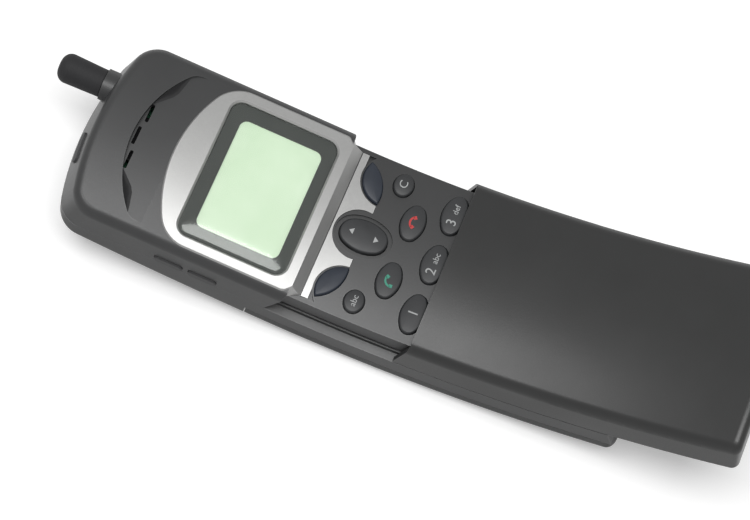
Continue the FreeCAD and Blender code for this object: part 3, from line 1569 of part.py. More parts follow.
def wall_keys():
    """The power key in the top end and the volume keys in the left wall."""
    power = Piece("power_key")
    height = s.power_half_height
    left = -s.power_x - s.power_half_length
    right = -s.power_x + s.power_half_length
    back = s.head_length - s.side_wall - 0.8
    cap = power.end_on(back)
    draw(cap, power_outline())
    power.pad(cap, 9)
    face = power.tilted(s.end_lean)
    draw(face, power_face(left - 1, right + 1))
    power.pocket(face, both=True)
    foot = power.plan(s.power_depth - height - s.key_ear)
    draw(foot, box_outline(left - s.key_ear, right + s.key_ear, back - 0.1, back + s.key_foot))
    power.pad(foot, (height + s.key_ear) * 2)
    height = s.volume_half_height
    inner = -half_body + s.side_wall + 0.8
    for node, y in (("volume_up_key", s.volume_up_y), ("volume_down_key", s.volume_down_y)):
        key = Piece(node)
        cap = key.side(x=inner)
        draw(cap, volume_outline(y, 0))
        key.pad(cap, inner + half_body + s.volume_proud)
        foot = key.side(x=inner + 0.1)
        draw(foot, box_outline(y - s.volume_half_length - s.key_ear,
                               y + s.volume_half_length + s.key_ear,
                               level(s.volume_depth + height + s.key_ear),
                               level(s.volume_depth - height - s.key_ear)))
        key.pad(foot, s.key_foot)
        key.bevel_edges(0.25, lambda edge: abs(edge.CenterOfMass.x + half_body.value
                                               + s.volume_proud.value) < NEAR)


def power_face(left, right):
    """What lies outside the power key's face, which is bowed and leans like the top end."""
    reach = s.top_bow + s.power_proud
    centre_y = leaning_top() - s.top_bow
    far = leaning_top() + 20
    return [
        (left, centre_y + root(reach * reach - left * left), -reach),
        (right, centre_y + root(reach * reach - right * right)),
        (right, far),
        (left, far),
    ]


def check_and_write():
    """Stop on any failed feature or broken solid, then write one STEP file for each sub-part."""
    doc.recompute()
    failed = [item.Label for item in doc.Objects if {"Invalid", "Error"} & set(item.State)]
    if failed:
        raise RuntimeError("failed features: " + ", ".join(failed))
    os.makedirs("parts", exist_ok=True)
    for item in parts:
        shape = item.Shape
        if shape.isNull() or not shape.isValid() or not shape.Solids:
            raise RuntimeError(item.Label + " is not a sound solid")
        shape.exportStep("parts/" + item.Label + ".step")


front_cover()
rear_cover()
display()
keypad()
boards()
sounders()
antenna()
connector()
springs_and_screws()
wall_keys()
slide_cover()
slide_fittings()
microphone()
battery()
battery_latch()
check_and_write()
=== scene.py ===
import json
import math

import bmesh
import bpy
from mathutils import Matrix, Vector


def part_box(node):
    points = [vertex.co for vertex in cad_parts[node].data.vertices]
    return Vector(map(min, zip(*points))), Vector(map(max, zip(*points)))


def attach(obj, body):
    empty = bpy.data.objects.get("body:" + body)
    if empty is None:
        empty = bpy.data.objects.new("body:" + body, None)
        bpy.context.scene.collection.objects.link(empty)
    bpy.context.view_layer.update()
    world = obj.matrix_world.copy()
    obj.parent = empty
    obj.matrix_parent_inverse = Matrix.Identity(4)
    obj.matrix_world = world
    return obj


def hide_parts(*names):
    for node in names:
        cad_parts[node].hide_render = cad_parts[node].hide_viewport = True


# The looks of a curved phone whose cover slides over its keypad: plastics, paint, glass and keys
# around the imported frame. Lengths are in metres, and MM turns millimetres into them.

MM = 0.001

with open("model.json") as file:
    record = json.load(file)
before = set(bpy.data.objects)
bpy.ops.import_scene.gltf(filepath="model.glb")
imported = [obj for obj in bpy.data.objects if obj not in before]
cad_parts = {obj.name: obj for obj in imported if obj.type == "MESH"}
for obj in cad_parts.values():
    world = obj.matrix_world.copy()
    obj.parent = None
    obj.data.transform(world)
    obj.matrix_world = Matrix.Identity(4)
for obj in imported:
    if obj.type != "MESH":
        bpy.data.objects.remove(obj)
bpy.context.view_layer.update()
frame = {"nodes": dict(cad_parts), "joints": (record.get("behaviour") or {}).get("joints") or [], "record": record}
nodes = frame["nodes"]
record = frame["record"]
joints = {joint["name"]: joint for joint in frame["joints"]}
bodies = record["behaviour"]["bodies"]
body_of = {node: body for body, members in bodies.items() for node in members}
slot_of = {part["node"]: part["material_slot"] for part in record["subparts"]}
arc_centre = Vector(joints["cover_slide"]["pos_m"])


# Shader nodes

HALF_STEP = 0.5
EDGE_SAMPLES = 4
EDGE_GAIN = 3
SIDE_FACING = 0.7
SIDE_SOFTNESS = 0.3

# The Mix node's sockets for colours go by number, because several sockets share each name.
MIX_SHARE, MIX_FIRST, MIX_SECOND = 0, 6, 7
MIX_COLOUR = 2


class Value:
    """An output socket. Arithmetic on it adds Math nodes."""

    def __init__(self, shading, socket):
        self.shading = shading
        self.socket = socket

    def math(self, operation, *others, clamp=False):
        """One Math node, with this value as its first input."""
        inputs = {0: self}
        inputs.update(enumerate(others, 1))
        settings = {"operation": operation, "use_clamp": clamp}
        return self.shading.node("ShaderNodeMath", settings, inputs)["Value"]

    def __add__(self, other):
        return self.math("ADD", other)

    def __radd__(self, other):
        return self + other

    def __sub__(self, other):
        return self.math("SUBTRACT", other)

    def __rsub__(self, other):
        return (self * -1) + other

    def __mul__(self, other):
        return self.math("MULTIPLY", other)

    def __truediv__(self, other):
        return self.math("DIVIDE", other)

    def clamped(self):
        """Kept from nought to one."""
        return self.math("ADD", 0, clamp=True)

    def above(self, edge, softness):
        """Nought below an edge and one above it, with a soft step between."""
        return ((self - edge) / softness + HALF_STEP).clamped()


class Outputs:
    """The output sockets of a node, by name or by number."""

    def __init__(self, shading, node):
        self.shading = shading
        self.sockets = node.outputs

    def __getitem__(self, name):
        return Value(self.shading, self.sockets[name])


class Shading:
    """The nodes of a material or a world under construction."""

    def __init__(self, owner):
        owner.use_nodes = True
        self.tree = owner.node_tree
        self.tree.nodes.clear()

    def node(self, kind, settings=None, inputs=None):
        """Add a node: its settings first, then the values or links of its sockets."""
        node = self.tree.nodes.new(kind)
        for name, value in (settings or {}).items():
            setattr(node, name, value)
        for name, value in (inputs or {}).items():
            self.feed(node.inputs[name], value)
        return Outputs(self, node)

    def feed(self, socket, value):
        """Link a socket to a value that varies, or set it to a plain one."""
        if isinstance(value, Value):
            self.tree.links.new(value.socket, socket)
        else:
            socket.default_value = value


class Finish(Shading):
    """A material under construction, with the usual parts of its recipe."""

    def __init__(self, name):
        self.material = bpy.data.materials.new(name)
        super().__init__(self.material)
        self.place = self.node("ShaderNodeTexCoord")["Object"]

    def noise(self, size, detail=2.0, roughness=0.5):
        """Cloudy noise whose patches are about so many metres across."""
        inputs = {"Vector": self.place, "Scale": 1 / size, "Detail": detail, "Roughness": roughness}
        return self.node("ShaderNodeTexNoise", None, inputs)["Fac"]

    def blend(self, share, first, second):
        """One colour passing into another."""
        inputs = {MIX_SHARE: share, MIX_FIRST: first, MIX_SECOND: second}
        return self.node("ShaderNodeMix", {"data_type": "RGBA"}, inputs)[MIX_COLOUR]

    def edges(self, width):
        """One on sharp outer edges, falling to nought on flat places."""
        soft = self.node("ShaderNodeBevel", {"samples": EDGE_SAMPLES}, {"Radius": width})["Normal"]
        true = self.node("ShaderNodeNewGeometry")["Normal"]
        settings = {"operation": "DOT_PRODUCT"}
        likeness = self.node("ShaderNodeVectorMath", settings, {0: soft, 1: true})["Value"]
        return ((1 - likeness) * EDGE_GAIN).clamped()

    def sides(self):
        """One on the side walls of the phone and nought on its front and back."""
        normal = self.node("ShaderNodeNewGeometry")["Normal"]
        across = self.node("ShaderNodeSeparateXYZ", None, {"Vector": normal})["X"]
        return across.math("ABSOLUTE").above(SIDE_FACING, SIDE_SOFTNESS)

    def bump(self, height, strength, distance, under=None):
        """A relief of some height, on top of another where one is given."""
        inputs = {"Height": height, "Strength": strength, "Distance": distance}
        if under is not None:
            inputs["Normal"] = under
        return self.node("ShaderNodeBump", None, inputs)["Normal"]

    def crown(self, radius):
        """The slight bow of a moulded front across the phone, about the middle."""
        across = self.node("ShaderNodeSeparateXYZ", None, {"Vector": self.place})["X"]
        fall = across * across * (-1 / (2 * radius))
        return self.bump(fall, 1.0, 1.0)

    def surface(self, **inputs):
        """Close the material with a Principled surface. Underscores in names stand for spaces."""
        named = {name.replace("_", " "): value for name, value in inputs.items()}
        shader = self.node("ShaderNodeBsdfPrincipled", None, named)["BSDF"]
        return self.close(shader)

    def close(self, shader):
        """Join a shader to the output. It gives the material."""
        self.node("ShaderNodeOutputMaterial", None, {"Surface": shader})
        return self.material


def rgb(red, green, blue):
    """An opaque colour."""
    return (red, green, blue, 1)


def shade(colour, factor, lift=0.0):
    """A colour made darker or lighter."""
    return rgb(*(channel * factor + lift for channel in colour[:3]))


# Finishes. A crown is the radius of the bow that a front seems to have across the phone.

CASE_CROWN = 130 * MM
COVER_CROWN = 105 * MM
SILVER_CROWN = 150 * MM
FLAKE_SIZE = 0.12 * MM
DOT_PITCH = 0.5 * MM
WEAVE_PITCH = 0.3 * MM
TRACK_PITCH = 0.4 * MM


def moulded_plastic(name, dark, light, roughness, grain=0.35 * MM, wear=0.4, gloss=0.5,
                    crown=CASE_CROWN):
    """Plastic with a fine spark-eroded grain, polished and paler along its edges."""
    finish = Finish(name)
    cloud = finish.noise(9 * MM, 3)
    handling = finish.noise(28 * MM, 2)
    texture = finish.noise(grain, 2, 0.6)
    edge = finish.edges(0.5 * MM)
    colour = finish.blend(cloud, dark, light)
    worn = finish.blend(edge * wear, colour, shade(light, 2.2, 0.02))
    rough = (roughness + (handling - 0.5) * 0.16 + (texture - 0.5) * 0.1 - edge * 0.08
             + finish.sides() * 0.2)
    relief = finish.bump(texture, 0.35, 0.04 * MM, finish.crown(crown))
    return finish.surface(Base_Color=worn, Roughness=rough, Specular_IOR_Level=gloss, Normal=relief)


def silver_paint(name, colour):
    """Metallic lacquer with fine flakes under a clear coat."""
    finish = Finish(name)
    inputs = {"Vector": finish.place, "Scale": 1 / FLAKE_SIZE}
    flake = finish.node("ShaderNodeTexVoronoi", None, inputs)
    sparkle = finish.node("ShaderNodeSeparateColor", None, {"Color": flake["Color"]})["Red"]
    cloud = finish.noise(12 * MM)
    edge = finish.edges(0.3 * MM)
    tone = finish.blend((sparkle * 0.5 + cloud * 0.5).clamped(), shade(colour, 0.82), colour)
    worn = finish.blend(edge * 0.35, tone, rgb(0.6, 0.6, 0.6))
    rough = 0.34 + sparkle * 0.12 + (cloud - 0.5) * 0.08
    return finish.surface(Base_Color=worn, Metallic=0.7, Roughness=rough,
                          Normal=finish.crown(SILVER_CROWN))


def clear_window(name):
    """Clear acrylic with a faint haze of fine scratches."""
    finish = Finish(name)
    settings = {"wave_type": "BANDS", "bands_direction": "DIAGONAL"}
    inputs = {"Vector": finish.place, "Scale": 900.0, "Distortion": 14.0, "Detail": 3.0}
    scratch = finish.node("ShaderNodeTexWave", settings, inputs)["Fac"]
    haze = finish.noise(6 * MM, 4)
    grazing = finish.node("ShaderNodeLayerWeight", None, {"Blend": 0.5})["Facing"]
    front = 1 - finish.node("ShaderNodeNewGeometry")["Backfacing"]
    rough = 0.11 + haze * 0.05 + scratch * 0.006
    clear = finish.node("ShaderNodeBsdfTransparent", None, {"Color": rgb(0.95, 0.97, 0.95)})["BSDF"]
    inputs = {"Base Color": rgb(0.5, 0.52, 0.5), "Metallic": 1.0, "Roughness": rough}
    gloss = finish.node("ShaderNodeBsdfPrincipled", None, inputs)["BSDF"]
    share = front * (grazing.math("POWER", 5) * 0.8 + 0.08 + haze * 0.02)
    mixed = finish.node("ShaderNodeMixShader", None, {0: share, 1: clear, 2: gloss})["Shader"]
    return finish.close(mixed)


def crystal(name, pale, deep):
    """A reflective crystal display: a fine grid of dots over a mottled, pearly ground, with a faint painted glow
    in its own colour.
    """
    finish = Finish(name)
    cloud = finish.noise(11 * MM, 3, 0.6)
    grid = grid_lines(finish, DOT_PITCH, 0.1)
    ground = finish.blend((cloud * 1.6 - 0.3).clamped(), pale, deep)
    tone = finish.blend(grid * 0.12, ground, rgb(0.45, 0.52, 0.42))
    # The emission is a painted glow: a reflective display gives no light of its own.
    return finish.surface(Base_Color=tone, Roughness=0.3 + cloud * 0.12, Emission_Color=tone,
                          Emission_Strength=0.1)


def grid_lines(finish, pitch, width):
    """One along the lines of a square grid. Their width is a share of its pitch."""
    axes = finish.node("ShaderNodeSeparateXYZ", None, {"Vector": finish.place})
    lines = []
    for axis in ("X", "Y"):
        cell = (axes[axis] / pitch).math("FRACT")
        lines.append((cell - 0.5).math("ABSOLUTE").above(0.5 - width, 0.06))
    return lines[0].math("MAXIMUM", lines[1])


def printed_frame(name, colour):
    """Screen-printed ink behind the window."""
    finish = Finish(name)
    dots = finish.noise(0.4 * MM, 2)
    cloud = finish.noise(7 * MM)
    tone = finish.blend(cloud, colour, shade(colour, 1.6))
    return finish.surface(Base_Color=tone, Roughness=0.35 + dots * 0.12, Specular_IOR_Level=0.3,
                          Normal=finish.bump(dots, 0.1, 0.01 * MM))


def brushed_sheet(name, colour, roughness=0.3, metallic=1.0):
    """Sheet metal with fine brushing along the phone."""
    finish = Finish(name)
    inputs = {"Vector": finish.place, "Scale": (6, 0.4, 6)}
    stretched = finish.node("ShaderNodeMapping", None, inputs)["Vector"]
    inputs = {"Vector": stretched, "Scale": 700.0, "Detail": 3.0}
    lines = finish.node("ShaderNodeTexNoise", None, inputs)["Fac"]
    cloud = finish.noise(5 * MM)
    tone = finish.blend((lines * 0.7 + cloud * 0.3).clamped(), shade(colour, 0.75), colour)
    rough = roughness + (lines - 0.5) * 0.2
    return finish.surface(Base_Color=tone, Metallic=metallic, Roughness=rough,
                          Normal=finish.bump(lines, 0.15, 0.01 * MM))


def key_plastic(name, dark, light, roughness=0.42):
    """A key's top: satin, a little shinier and greyer where fingers have polished it."""
    finish = Finish(name)
    cloud = finish.noise(4 * MM, 3)
    grain = finish.noise(0.25 * MM, 2, 0.6)
    edge = finish.edges(0.35 * MM)
    tone = finish.blend(cloud, dark, light)
    worn = finish.blend(edge * 0.3, tone, shade(light, 2, 0.02))
    rough = roughness + (cloud - 0.5) * 0.2 + (grain - 0.5) * 0.08
    return finish.surface(Base_Color=worn, Roughness=rough, Specular_IOR_Level=0.36,
                          Normal=finish.bump(grain, 0.2, 0.02 * MM))


def printed_ink(name, colour):
    """The legends' ink, slightly rubbed."""
    finish = Finish(name)
    rubbed = finish.noise(0.6 * MM, 3, 0.6)
    tone = finish.blend(rubbed, shade(colour, 0.7), colour)
    return finish.surface(Base_Color=tone, Roughness=0.5 + rubbed * 0.15)


def woven_felt(name, colour):
    """Fine dark cloth, woven square."""
    finish = Finish(name)
    weave = grid_lines(finish, WEAVE_PITCH, 0.2)
    fuzz = finish.noise(0.2 * MM, 3, 0.7)
    tone = finish.blend(weave * 0.6 + fuzz * 0.4, shade(colour, 0.5), colour)
    return finish.surface(Base_Color=tone, Roughness=0.85 + fuzz * 0.1, Specular_IOR_Level=0.1,
                          Normal=finish.bump(weave, 0.4, 0.05 * MM))


def soft_rubber(name, colour, gloss=0.5):
    """Matt rubber with a little dust."""
    finish = Finish(name)
    grain = finish.noise(0.5 * MM, 3, 0.65)
    cloud = finish.noise(6 * MM)
    dust = finish.blend(cloud * 0.6, colour, shade(colour, 1.5, 0.01))
    return finish.surface(Base_Color=dust, Roughness=0.62 + grain * 0.18, Specular_IOR_Level=gloss,
                          Normal=finish.bump(grain, 0.3, 0.05 * MM))


def circuit_board(name):
    """Green lacquer over copper tracks, with tinned pads."""
    finish = Finish(name)
    inputs = {"Vector": finish.place, "Scale": 420.0, "Mortar Size": 0.025,
              "Color1": rgb(0.03, 0.17, 0.08), "Color2": rgb(0.02, 0.12, 0.06),
              "Mortar": rgb(0.06, 0.26, 0.13)}
    tracks = finish.node("ShaderNodeTexBrick", None, inputs)
    inputs = {"Vector": finish.place, "Scale": 600.0}
    apart = finish.node("ShaderNodeTexVoronoi", None, inputs)["Distance"]
    pad = 1 - apart.above(0.2, 0.05)
    tone = finish.blend(pad, tracks["Color"], rgb(0.7, 0.68, 0.6))
    return finish.surface(Base_Color=tone, Metallic=pad * 0.9, Roughness=0.35,
                          Normal=finish.bump(tracks["Fac"], 0.2, 0.03 * MM))


def amber_film(name):
    """Polyimide strip with copper tracks showing through."""
    finish = Finish(name)
    across = finish.node("ShaderNodeSeparateXYZ", None, {"Vector": finish.place})["X"]
    track = ((across / TRACK_PITCH).math("FRACT") - 0.5).math("ABSOLUTE").above(0.3, 0.1)
    tone = finish.blend(track, rgb(0.5, 0.24, 0.05), rgb(0.72, 0.42, 0.16))
    return finish.surface(Base_Color=tone, Roughness=0.3, Metallic=track * 0.4)


def sleeved_cell(name):
    """Shrink sleeve over a cell."""
    finish = Finish(name)
    wrinkle = finish.noise(3 * MM, 4, 0.6)
    tone = finish.blend(wrinkle, rgb(0.05, 0.13, 0.34), rgb(0.09, 0.2, 0.45))
    return finish.surface(Base_Color=tone, Roughness=0.25 + wrinkle * 0.15,
                          Normal=finish.bump(wrinkle, 0.3, 0.1 * MM))


CHARCOAL = rgb(0.016, 0.0165, 0.017)
CHARCOAL_LIGHT = rgb(0.024, 0.0245, 0.025)
COVER = rgb(0.009, 0.0093, 0.0092)
COVER_LIGHT = rgb(0.014, 0.0143, 0.0142)
BLACK = rgb(0.014, 0.014, 0.015)
BLACK_LIGHT = rgb(0.02, 0.02, 0.021)

finishes = {
    "case": moulded_plastic("charcoal_case", CHARCOAL, CHARCOAL_LIGHT, 0.42),
    "case_cover": moulded_plastic("charcoal_cover", COVER, COVER_LIGHT, 0.36, 0.4 * MM, gloss=0.42,
                                  crown=COVER_CROWN),
    "pack": moulded_plastic("charcoal_pack", CHARCOAL, CHARCOAL_LIGHT, 0.48, gloss=0.38),
    "lid": moulded_plastic("black_lid", BLACK, BLACK_LIGHT, 0.5),
    "catch": moulded_plastic("black_catch", BLACK, BLACK_LIGHT, 0.5),
    "socket": moulded_plastic("black_socket", rgb(0.012, 0.012, 0.013), rgb(0.018, 0.018, 0.019),
                              0.5),
    "runner": moulded_plastic("grey_nylon", rgb(0.3, 0.3, 0.29), rgb(0.38, 0.38, 0.37), 0.4),
    "guide": moulded_plastic("milky_guide", rgb(0.8, 0.8, 0.76), rgb(0.88, 0.88, 0.84), 0.4,
                             wear=0.1),
    "bezel": silver_paint("silver_surround", rgb(0.34, 0.34, 0.335)),
    "trim": silver_paint("silver_trim", rgb(0.36, 0.36, 0.355)),
    "window": clear_window("acrylic_window"),
    "mask": printed_frame("printed_mask", rgb(0.014, 0.015, 0.015)),
    "lcd": crystal("display_crystal", rgb(0.83, 0.94, 0.77), rgb(0.7, 0.84, 0.64)),
    "key": key_plastic("grey_key", rgb(0.016, 0.017, 0.018), rgb(0.025, 0.026, 0.028)),
    "soft_key": key_plastic("navy_key", rgb(0.008, 0.012, 0.02), rgb(0.014, 0.019, 0.03), 0.36),
    "rubber": soft_rubber("grey_rubber", rgb(0.1, 0.1, 0.105)),
    "felt": woven_felt("black_felt", rgb(0.008, 0.008, 0.009)),
    "wall_key": soft_rubber("dark_rubber", rgb(0.016, 0.016, 0.017)),
    "antenna": soft_rubber("black_rubber", rgb(0.012, 0.012, 0.013), 0.3),
    "dome": brushed_sheet("pressed_dome", rgb(0.75, 0.74, 0.7)),
    "can": brushed_sheet("tinned_sheet", rgb(0.7, 0.71, 0.7), 0.35),
    "capsule": brushed_sheet("capsule_can", rgb(0.3, 0.3, 0.31), 0.4, 0.9),
    "screw": brushed_sheet("zinc_screw", rgb(0.6, 0.6, 0.6), 0.35),
    "brass": brushed_sheet("gold_contact", rgb(0.78, 0.6, 0.28), 0.25),
    "board": circuit_board("green_board"),
    "flex": amber_film("amber_film"),
    "cell": sleeved_cell("blue_sleeve"),
}
# The coves' finish is darker and less glossy than the case: painted shade for the dark band at the foot of the ear
# dish's step.
COVE_PAINTED_SHADE = moulded_plastic("matt_cove", rgb(0.01, 0.01, 0.0105), rgb(0.014, 0.014, 0.0145), 0.7,
                            gloss=0.12)
PALE_INK = printed_ink("pale_ink", rgb(0.4, 0.41, 0.41))
RED_INK = printed_ink("red_ink", rgb(0.5, 0.03, 0.03))
TEAL_INK = printed_ink("teal_ink", rgb(0.04, 0.26, 0.18))


def dress_frame():
    """Give every node of the frame its finish."""
    for node, piece in nodes.items():
        piece.data.materials.clear()
        piece.data.materials.append(finishes[slot_of[node]])


# Modelling helpers

SAME_PLACE = 0.002 * MM
LEVEL = 0.02 * MM
FACES_FRONT = 0.9
CROWN_RINGS = 7
RING_POWER = 1.5
PLATE_SEGMENTS = 10

# Degrees up to which the edges of a piece look smooth.
SMOOTH_TO = 32
SMOOTH_CROWN = 50
SMOOTH_FLAT = 12
SMOOTH_NIB = 60


def add_piece(name, mesh, material, body, smooth_to=SMOOTH_TO):
    """Put a finished mesh in the scene, riding on a body."""
    for face in mesh.polygons:
        face.use_smooth = True
    mesh.set_sharp_from_angle(angle=math.radians(smooth_to))
    mesh.materials.clear()
    mesh.materials.append(material)
    piece = bpy.data.objects.new(name, mesh)
    bpy.context.scene.collection.objects.link(piece)
    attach(piece, body)
    return piece


def to_mesh(shape, name):
    """Close a shape and give its mesh."""
    mesh = bpy.data.meshes.new(name)
    shape.to_mesh(mesh)
    shape.free()
    return mesh


def merged_copy(node):
    """A copy of a node's mesh as one closed skin."""
    shape = bmesh.new()
    shape.from_mesh(nodes[node].data)
    bmesh.ops.remove_doubles(shape, verts=shape.verts, dist=SAME_PLACE)
    return shape


def face_place(node, shape):
    """The frame of a piece's flat front: Z out of it, X across the phone, and zero inside it."""
    low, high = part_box(node)
    middle = (low + high) / 2
    front = (arc_centre - middle).normalized()
    total = Vector()
    for face in shape.faces:
        if face.normal.dot(front) > FACES_FRONT:
            total += face.normal * face.calc_area()
    out = total.normalized()
    across = Vector((1, 0, 0))
    turned = Matrix((across, out.cross(across), out)).transposed().to_4x4()
    return Matrix.Translation(middle) @ turned


def top_of(node):
    """The frame of a piece's flat front, and how high and how far to the side it reaches there."""
    shape = merged_copy(node)
    place = face_place(node, shape)
    shape.transform(place.inverted())
    high = max(vert.co.z for vert in shape.verts)
    reach = max(vert.co.x for vert in shape.verts)
    shape.free()
    return place, high, reach


def replace_node(node, shape, name, place, smooth_to=SMOOTH_TO):
    """Put a shape that was made in some frame in the scene, in place of a node."""
    shape.transform(place)
    slot = slot_of[node]
    piece = add_piece(name, to_mesh(shape, name), finishes[slot], body_of[node], smooth_to)
    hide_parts(node)


def flat_top(shape):
    """Join the level faces at the top of a shape into one."""
    highest = max(vert.co.z for vert in shape.verts)
    level = [face for face in shape.faces
             if all(vert.co.z > highest - LEVEL for vert in face.verts)]
    return bmesh.ops.dissolve_faces(shape, faces=level, use_verts=False)["region"][0]


def draw_up(shape, top, rise, fullness):
    """Turn a flat top into a soft crown, ring by ring towards its middle."""
    middle = top.calc_center_median()
    share = 1
    for ring in range(CROWN_RINGS):
        top = bmesh.ops.extrude_discrete_faces(shape, faces=[top])["faces"][0]
        closer = 1 - ((ring + 1) / (CROWN_RINGS + 1)) ** RING_POWER
        for vert in top.verts:
            vert.co.xy = middle.xy + (vert.co.xy - middle.xy) * closer / share
            vert.co.z = middle.z + rise * (1 - closer ** fullness)
        share = closer
    bmesh.ops.poke(shape, faces=[top], offset=0)


def rounded_plate(half_x, half_y, corner):
    """A flat rectangle with round corners."""
    shape = bmesh.new()
    bmesh.ops.create_grid(shape, x_segments=1, y_segments=1, size=1)
    bmesh.ops.scale(shape, vec=(half_x, half_y, 1), verts=shape.verts)
    bmesh.ops.bevel(shape, geom=shape.verts[:], offset=corner, offset_type="OFFSET",
                    segments=PLATE_SEGMENTS, profile=0.5, affect="VERTICES", material=-1)
    return shape


def thicken(shape, thickness):
    """Give a flat shape its thickness, with its faces outwards."""
    bmesh.ops.solidify(shape, geom=shape.faces[:], thickness=thickness)
    bmesh.ops.recalc_face_normals(shape, faces=shape.faces)


# Display. Its pieces are shaped in the frame of the straight head: X across the phone, Y from the
# step towards the top end, and Z out of the front.

ARC_RADIUS = 200 * MM
WINDOW_MIDDLE = 17.1 * MM
WINDOW_DOME = 1 * MM
WINDOW_FULLNESS = 5

# How far the window's outline and the printed frame's opening are drawn out from the nodes':
# to each side, towards the top end and towards the step.
WINDOW_WIDER = 1.9 * MM
WINDOW_HIGHER = 1.5 * MM
WINDOW_LOWER = 1.9 * MM
OPENING_WIDER = 1.7 * MM
OPENING_HIGHER = 0.4 * MM
OPENING_LOWER = 1.4 * MM
MASK_LIFT = 0.06 * MM
MASK_RIM = 1 * MM

# The surround's outline grows by a share. Its lip below the foot keeps its size.
SURROUND_WIDER = 1.072
SURROUND_TALLER = 1.013
SURROUND_HALF_HOLE = 18.2 * MM
SURROUND_HOLE_LOW = 3 * MM
SURROUND_HOLE_HIGH = 31 * MM
SURROUND_FOOT = -0.1 * MM

# The crystal's sheet, and the trim's tips beside the soft keys.
SHEET_HALF_X = 16.6 * MM
SHEET_LOW = 4.75 * MM
SHEET_HIGH = 29.4 * MM
SHEET_DEPTH = 1.12 * MM
SHEET_THICKNESS = 0.2 * MM
SHEET_CORNER = 1 * MM
TIP_INSIDE = 16.8 * MM
TIP_REACH = 4.9 * MM

head_turn = top_of("display_window")[0].to_3x3().to_4x4()
head_frame = (Matrix.Translation(arc_centre) @ head_turn
              @ Matrix.Translation((0, 0, -ARC_RADIUS)))


def head_place(x, y, depth):
    """A place in the straight head, so deep below its front."""
    return head_frame @ Matrix.Translation((x, y, -depth))


def head_copy(node):
    """A merged copy of a node's mesh, in the head's frame."""
    shape = merged_copy(node)
    shape.transform(head_frame.inverted())
    return shape


def spread(verts, wider, higher, lower):
    """Move the sides of a round-cornered outline outwards and leave its corners as round."""
    for vert in verts:
        vert.co.x += math.copysign(wider, vert.co.x)
        vert.co.y += higher if vert.co.y > WINDOW_MIDDLE else -lower


def within(shape, half_x, low, high):
    """The corner points of a shape that lie inside a window, and the ones that don't."""
    inside = [vert for vert in shape.verts if abs(vert.co.x) < half_x and low < vert.co.y < high]
    chosen = set(inside)
    return inside, [vert for vert in shape.verts if vert not in chosen]


def surround():
    """The silver surround, which reaches nearly to the sides of the head."""
    shape = head_copy("display_bezel")
    opening, outside = within(shape, SURROUND_HALF_HOLE, SURROUND_HOLE_LOW, SURROUND_HOLE_HIGH)
    for vert in outside:
        if vert.co.y > SURROUND_FOOT:
            vert.co.x *= SURROUND_WIDER
            vert.co.y *= SURROUND_TALLER
    spread(opening, WINDOW_WIDER, WINDOW_HIGHER, WINDOW_LOWER)
    replace_node("display_bezel", shape, "surround", head_frame, SMOOTH_FLAT)


def trim():
    """The silver trim on the deck, its outer tips cut short beside the soft keys."""
    shape = head_copy("keypad_trim")
    for vert in shape.verts:
        if abs(vert.co.x) > TIP_INSIDE and TIP_REACH < -vert.co.y < TIP_REACH * 2:
            vert.co.y = -TIP_REACH
    replace_node("keypad_trim", shape, "silver_trim", head_frame, SMOOTH_FLAT)


def window():
    """The acrylic window, its front drawn up into a soft dome."""
    shape = head_copy("display_window")
    spread(shape.verts, WINDOW_WIDER, WINDOW_HIGHER, WINDOW_LOWER)
    draw_up(shape, flat_top(shape), WINDOW_DOME, WINDOW_FULLNESS)
    replace_node("display_window", shape, "domed_window", head_frame, SMOOTH_CROWN)


def print_frame():
    """The printed frame, opened to the edges of what the crystal shows."""
    shape = head_copy("display_mask")
    half_x = max(vert.co.x for vert in shape.verts)
    low = min(vert.co.y for vert in shape.verts)
    high = max(vert.co.y for vert in shape.verts)
    opening, outside = within(shape, half_x - MASK_RIM, low + MASK_RIM, high - MASK_RIM)
    spread(opening, OPENING_WIDER, OPENING_HIGHER, OPENING_LOWER)
    spread(outside, WINDOW_WIDER, WINDOW_HIGHER, WINDOW_LOWER)
    bmesh.ops.translate(shape, vec=(0, 0, MASK_LIFT), verts=shape.verts)
    replace_node("display_mask", shape, "printed_frame", head_frame)


def crystal_sheet():
    """The front sheet of the crystal, right behind the printed frame."""
    shape = rounded_plate(SHEET_HALF_X, (SHEET_HIGH - SHEET_LOW) / 2, SHEET_CORNER)
    thicken(shape, SHEET_THICKNESS)
    shape.transform(head_place(0, (SHEET_LOW + SHEET_HIGH) / 2, SHEET_DEPTH + SHEET_THICKNESS))
    add_piece("crystal_sheet", to_mesh(shape, "crystal_sheet"), finishes["lcd"],
              body_of["lcd_glass"])


# Small parts in the head and the battery

FELT_SHEET = 0.05 * MM
FELT_SEGMENTS = 48

# The ear dish leans back from a hinge line above the step, and its rim is bowed.
DISH_HINGE = 39.2 * MM
DISH_LEAN = math.radians(6.5)
DISH_REACH = 11.2 * MM
DISH_BOW = 30 * MM
COVE_WIDTH = 2.1 * MM
COVE_BEND = 0.45
COVE_RISE = 0.45 * MM
COVE_ROOT = 0.1 * MM
COVE_START = 0.02 * MM
COVE_FROM = math.radians(18.5)
COVE_TO = math.radians(40)
COVE_FADE = math.radians(9)
COVE_STEPS = 14
COVE_TIP = 0.02
COVE_TIP_POWER = 0.7

# The lip at the battery's upper end. Its top and back are depths below the front.
LIP_HALF = 19.5 * MM
LIP_SHEET = 0.22 * MM
LIP_TOP = 18.6 * MM
LIP_BACK = 24.3 * MM
LIP_Y = 8.25 * MM
LIP_ROUND = 3 * MM
LIP_SEGMENTS = 6


def earpiece_felt():
    """Black felt between the sound slots and the earpiece."""
    place, high, reach = top_of("earpiece_gasket")
    shape = bmesh.new()
    bmesh.ops.create_circle(shape, cap_ends=True, segments=FELT_SEGMENTS, radius=reach)
    thicken(shape, FELT_SHEET)
    shape.transform(place @ Matrix.Translation((0, 0, high + FELT_SHEET)))
    add_piece("earpiece_felt", to_mesh(shape, "earpiece_felt"), finishes["felt"],
              body_of["earpiece_gasket"])


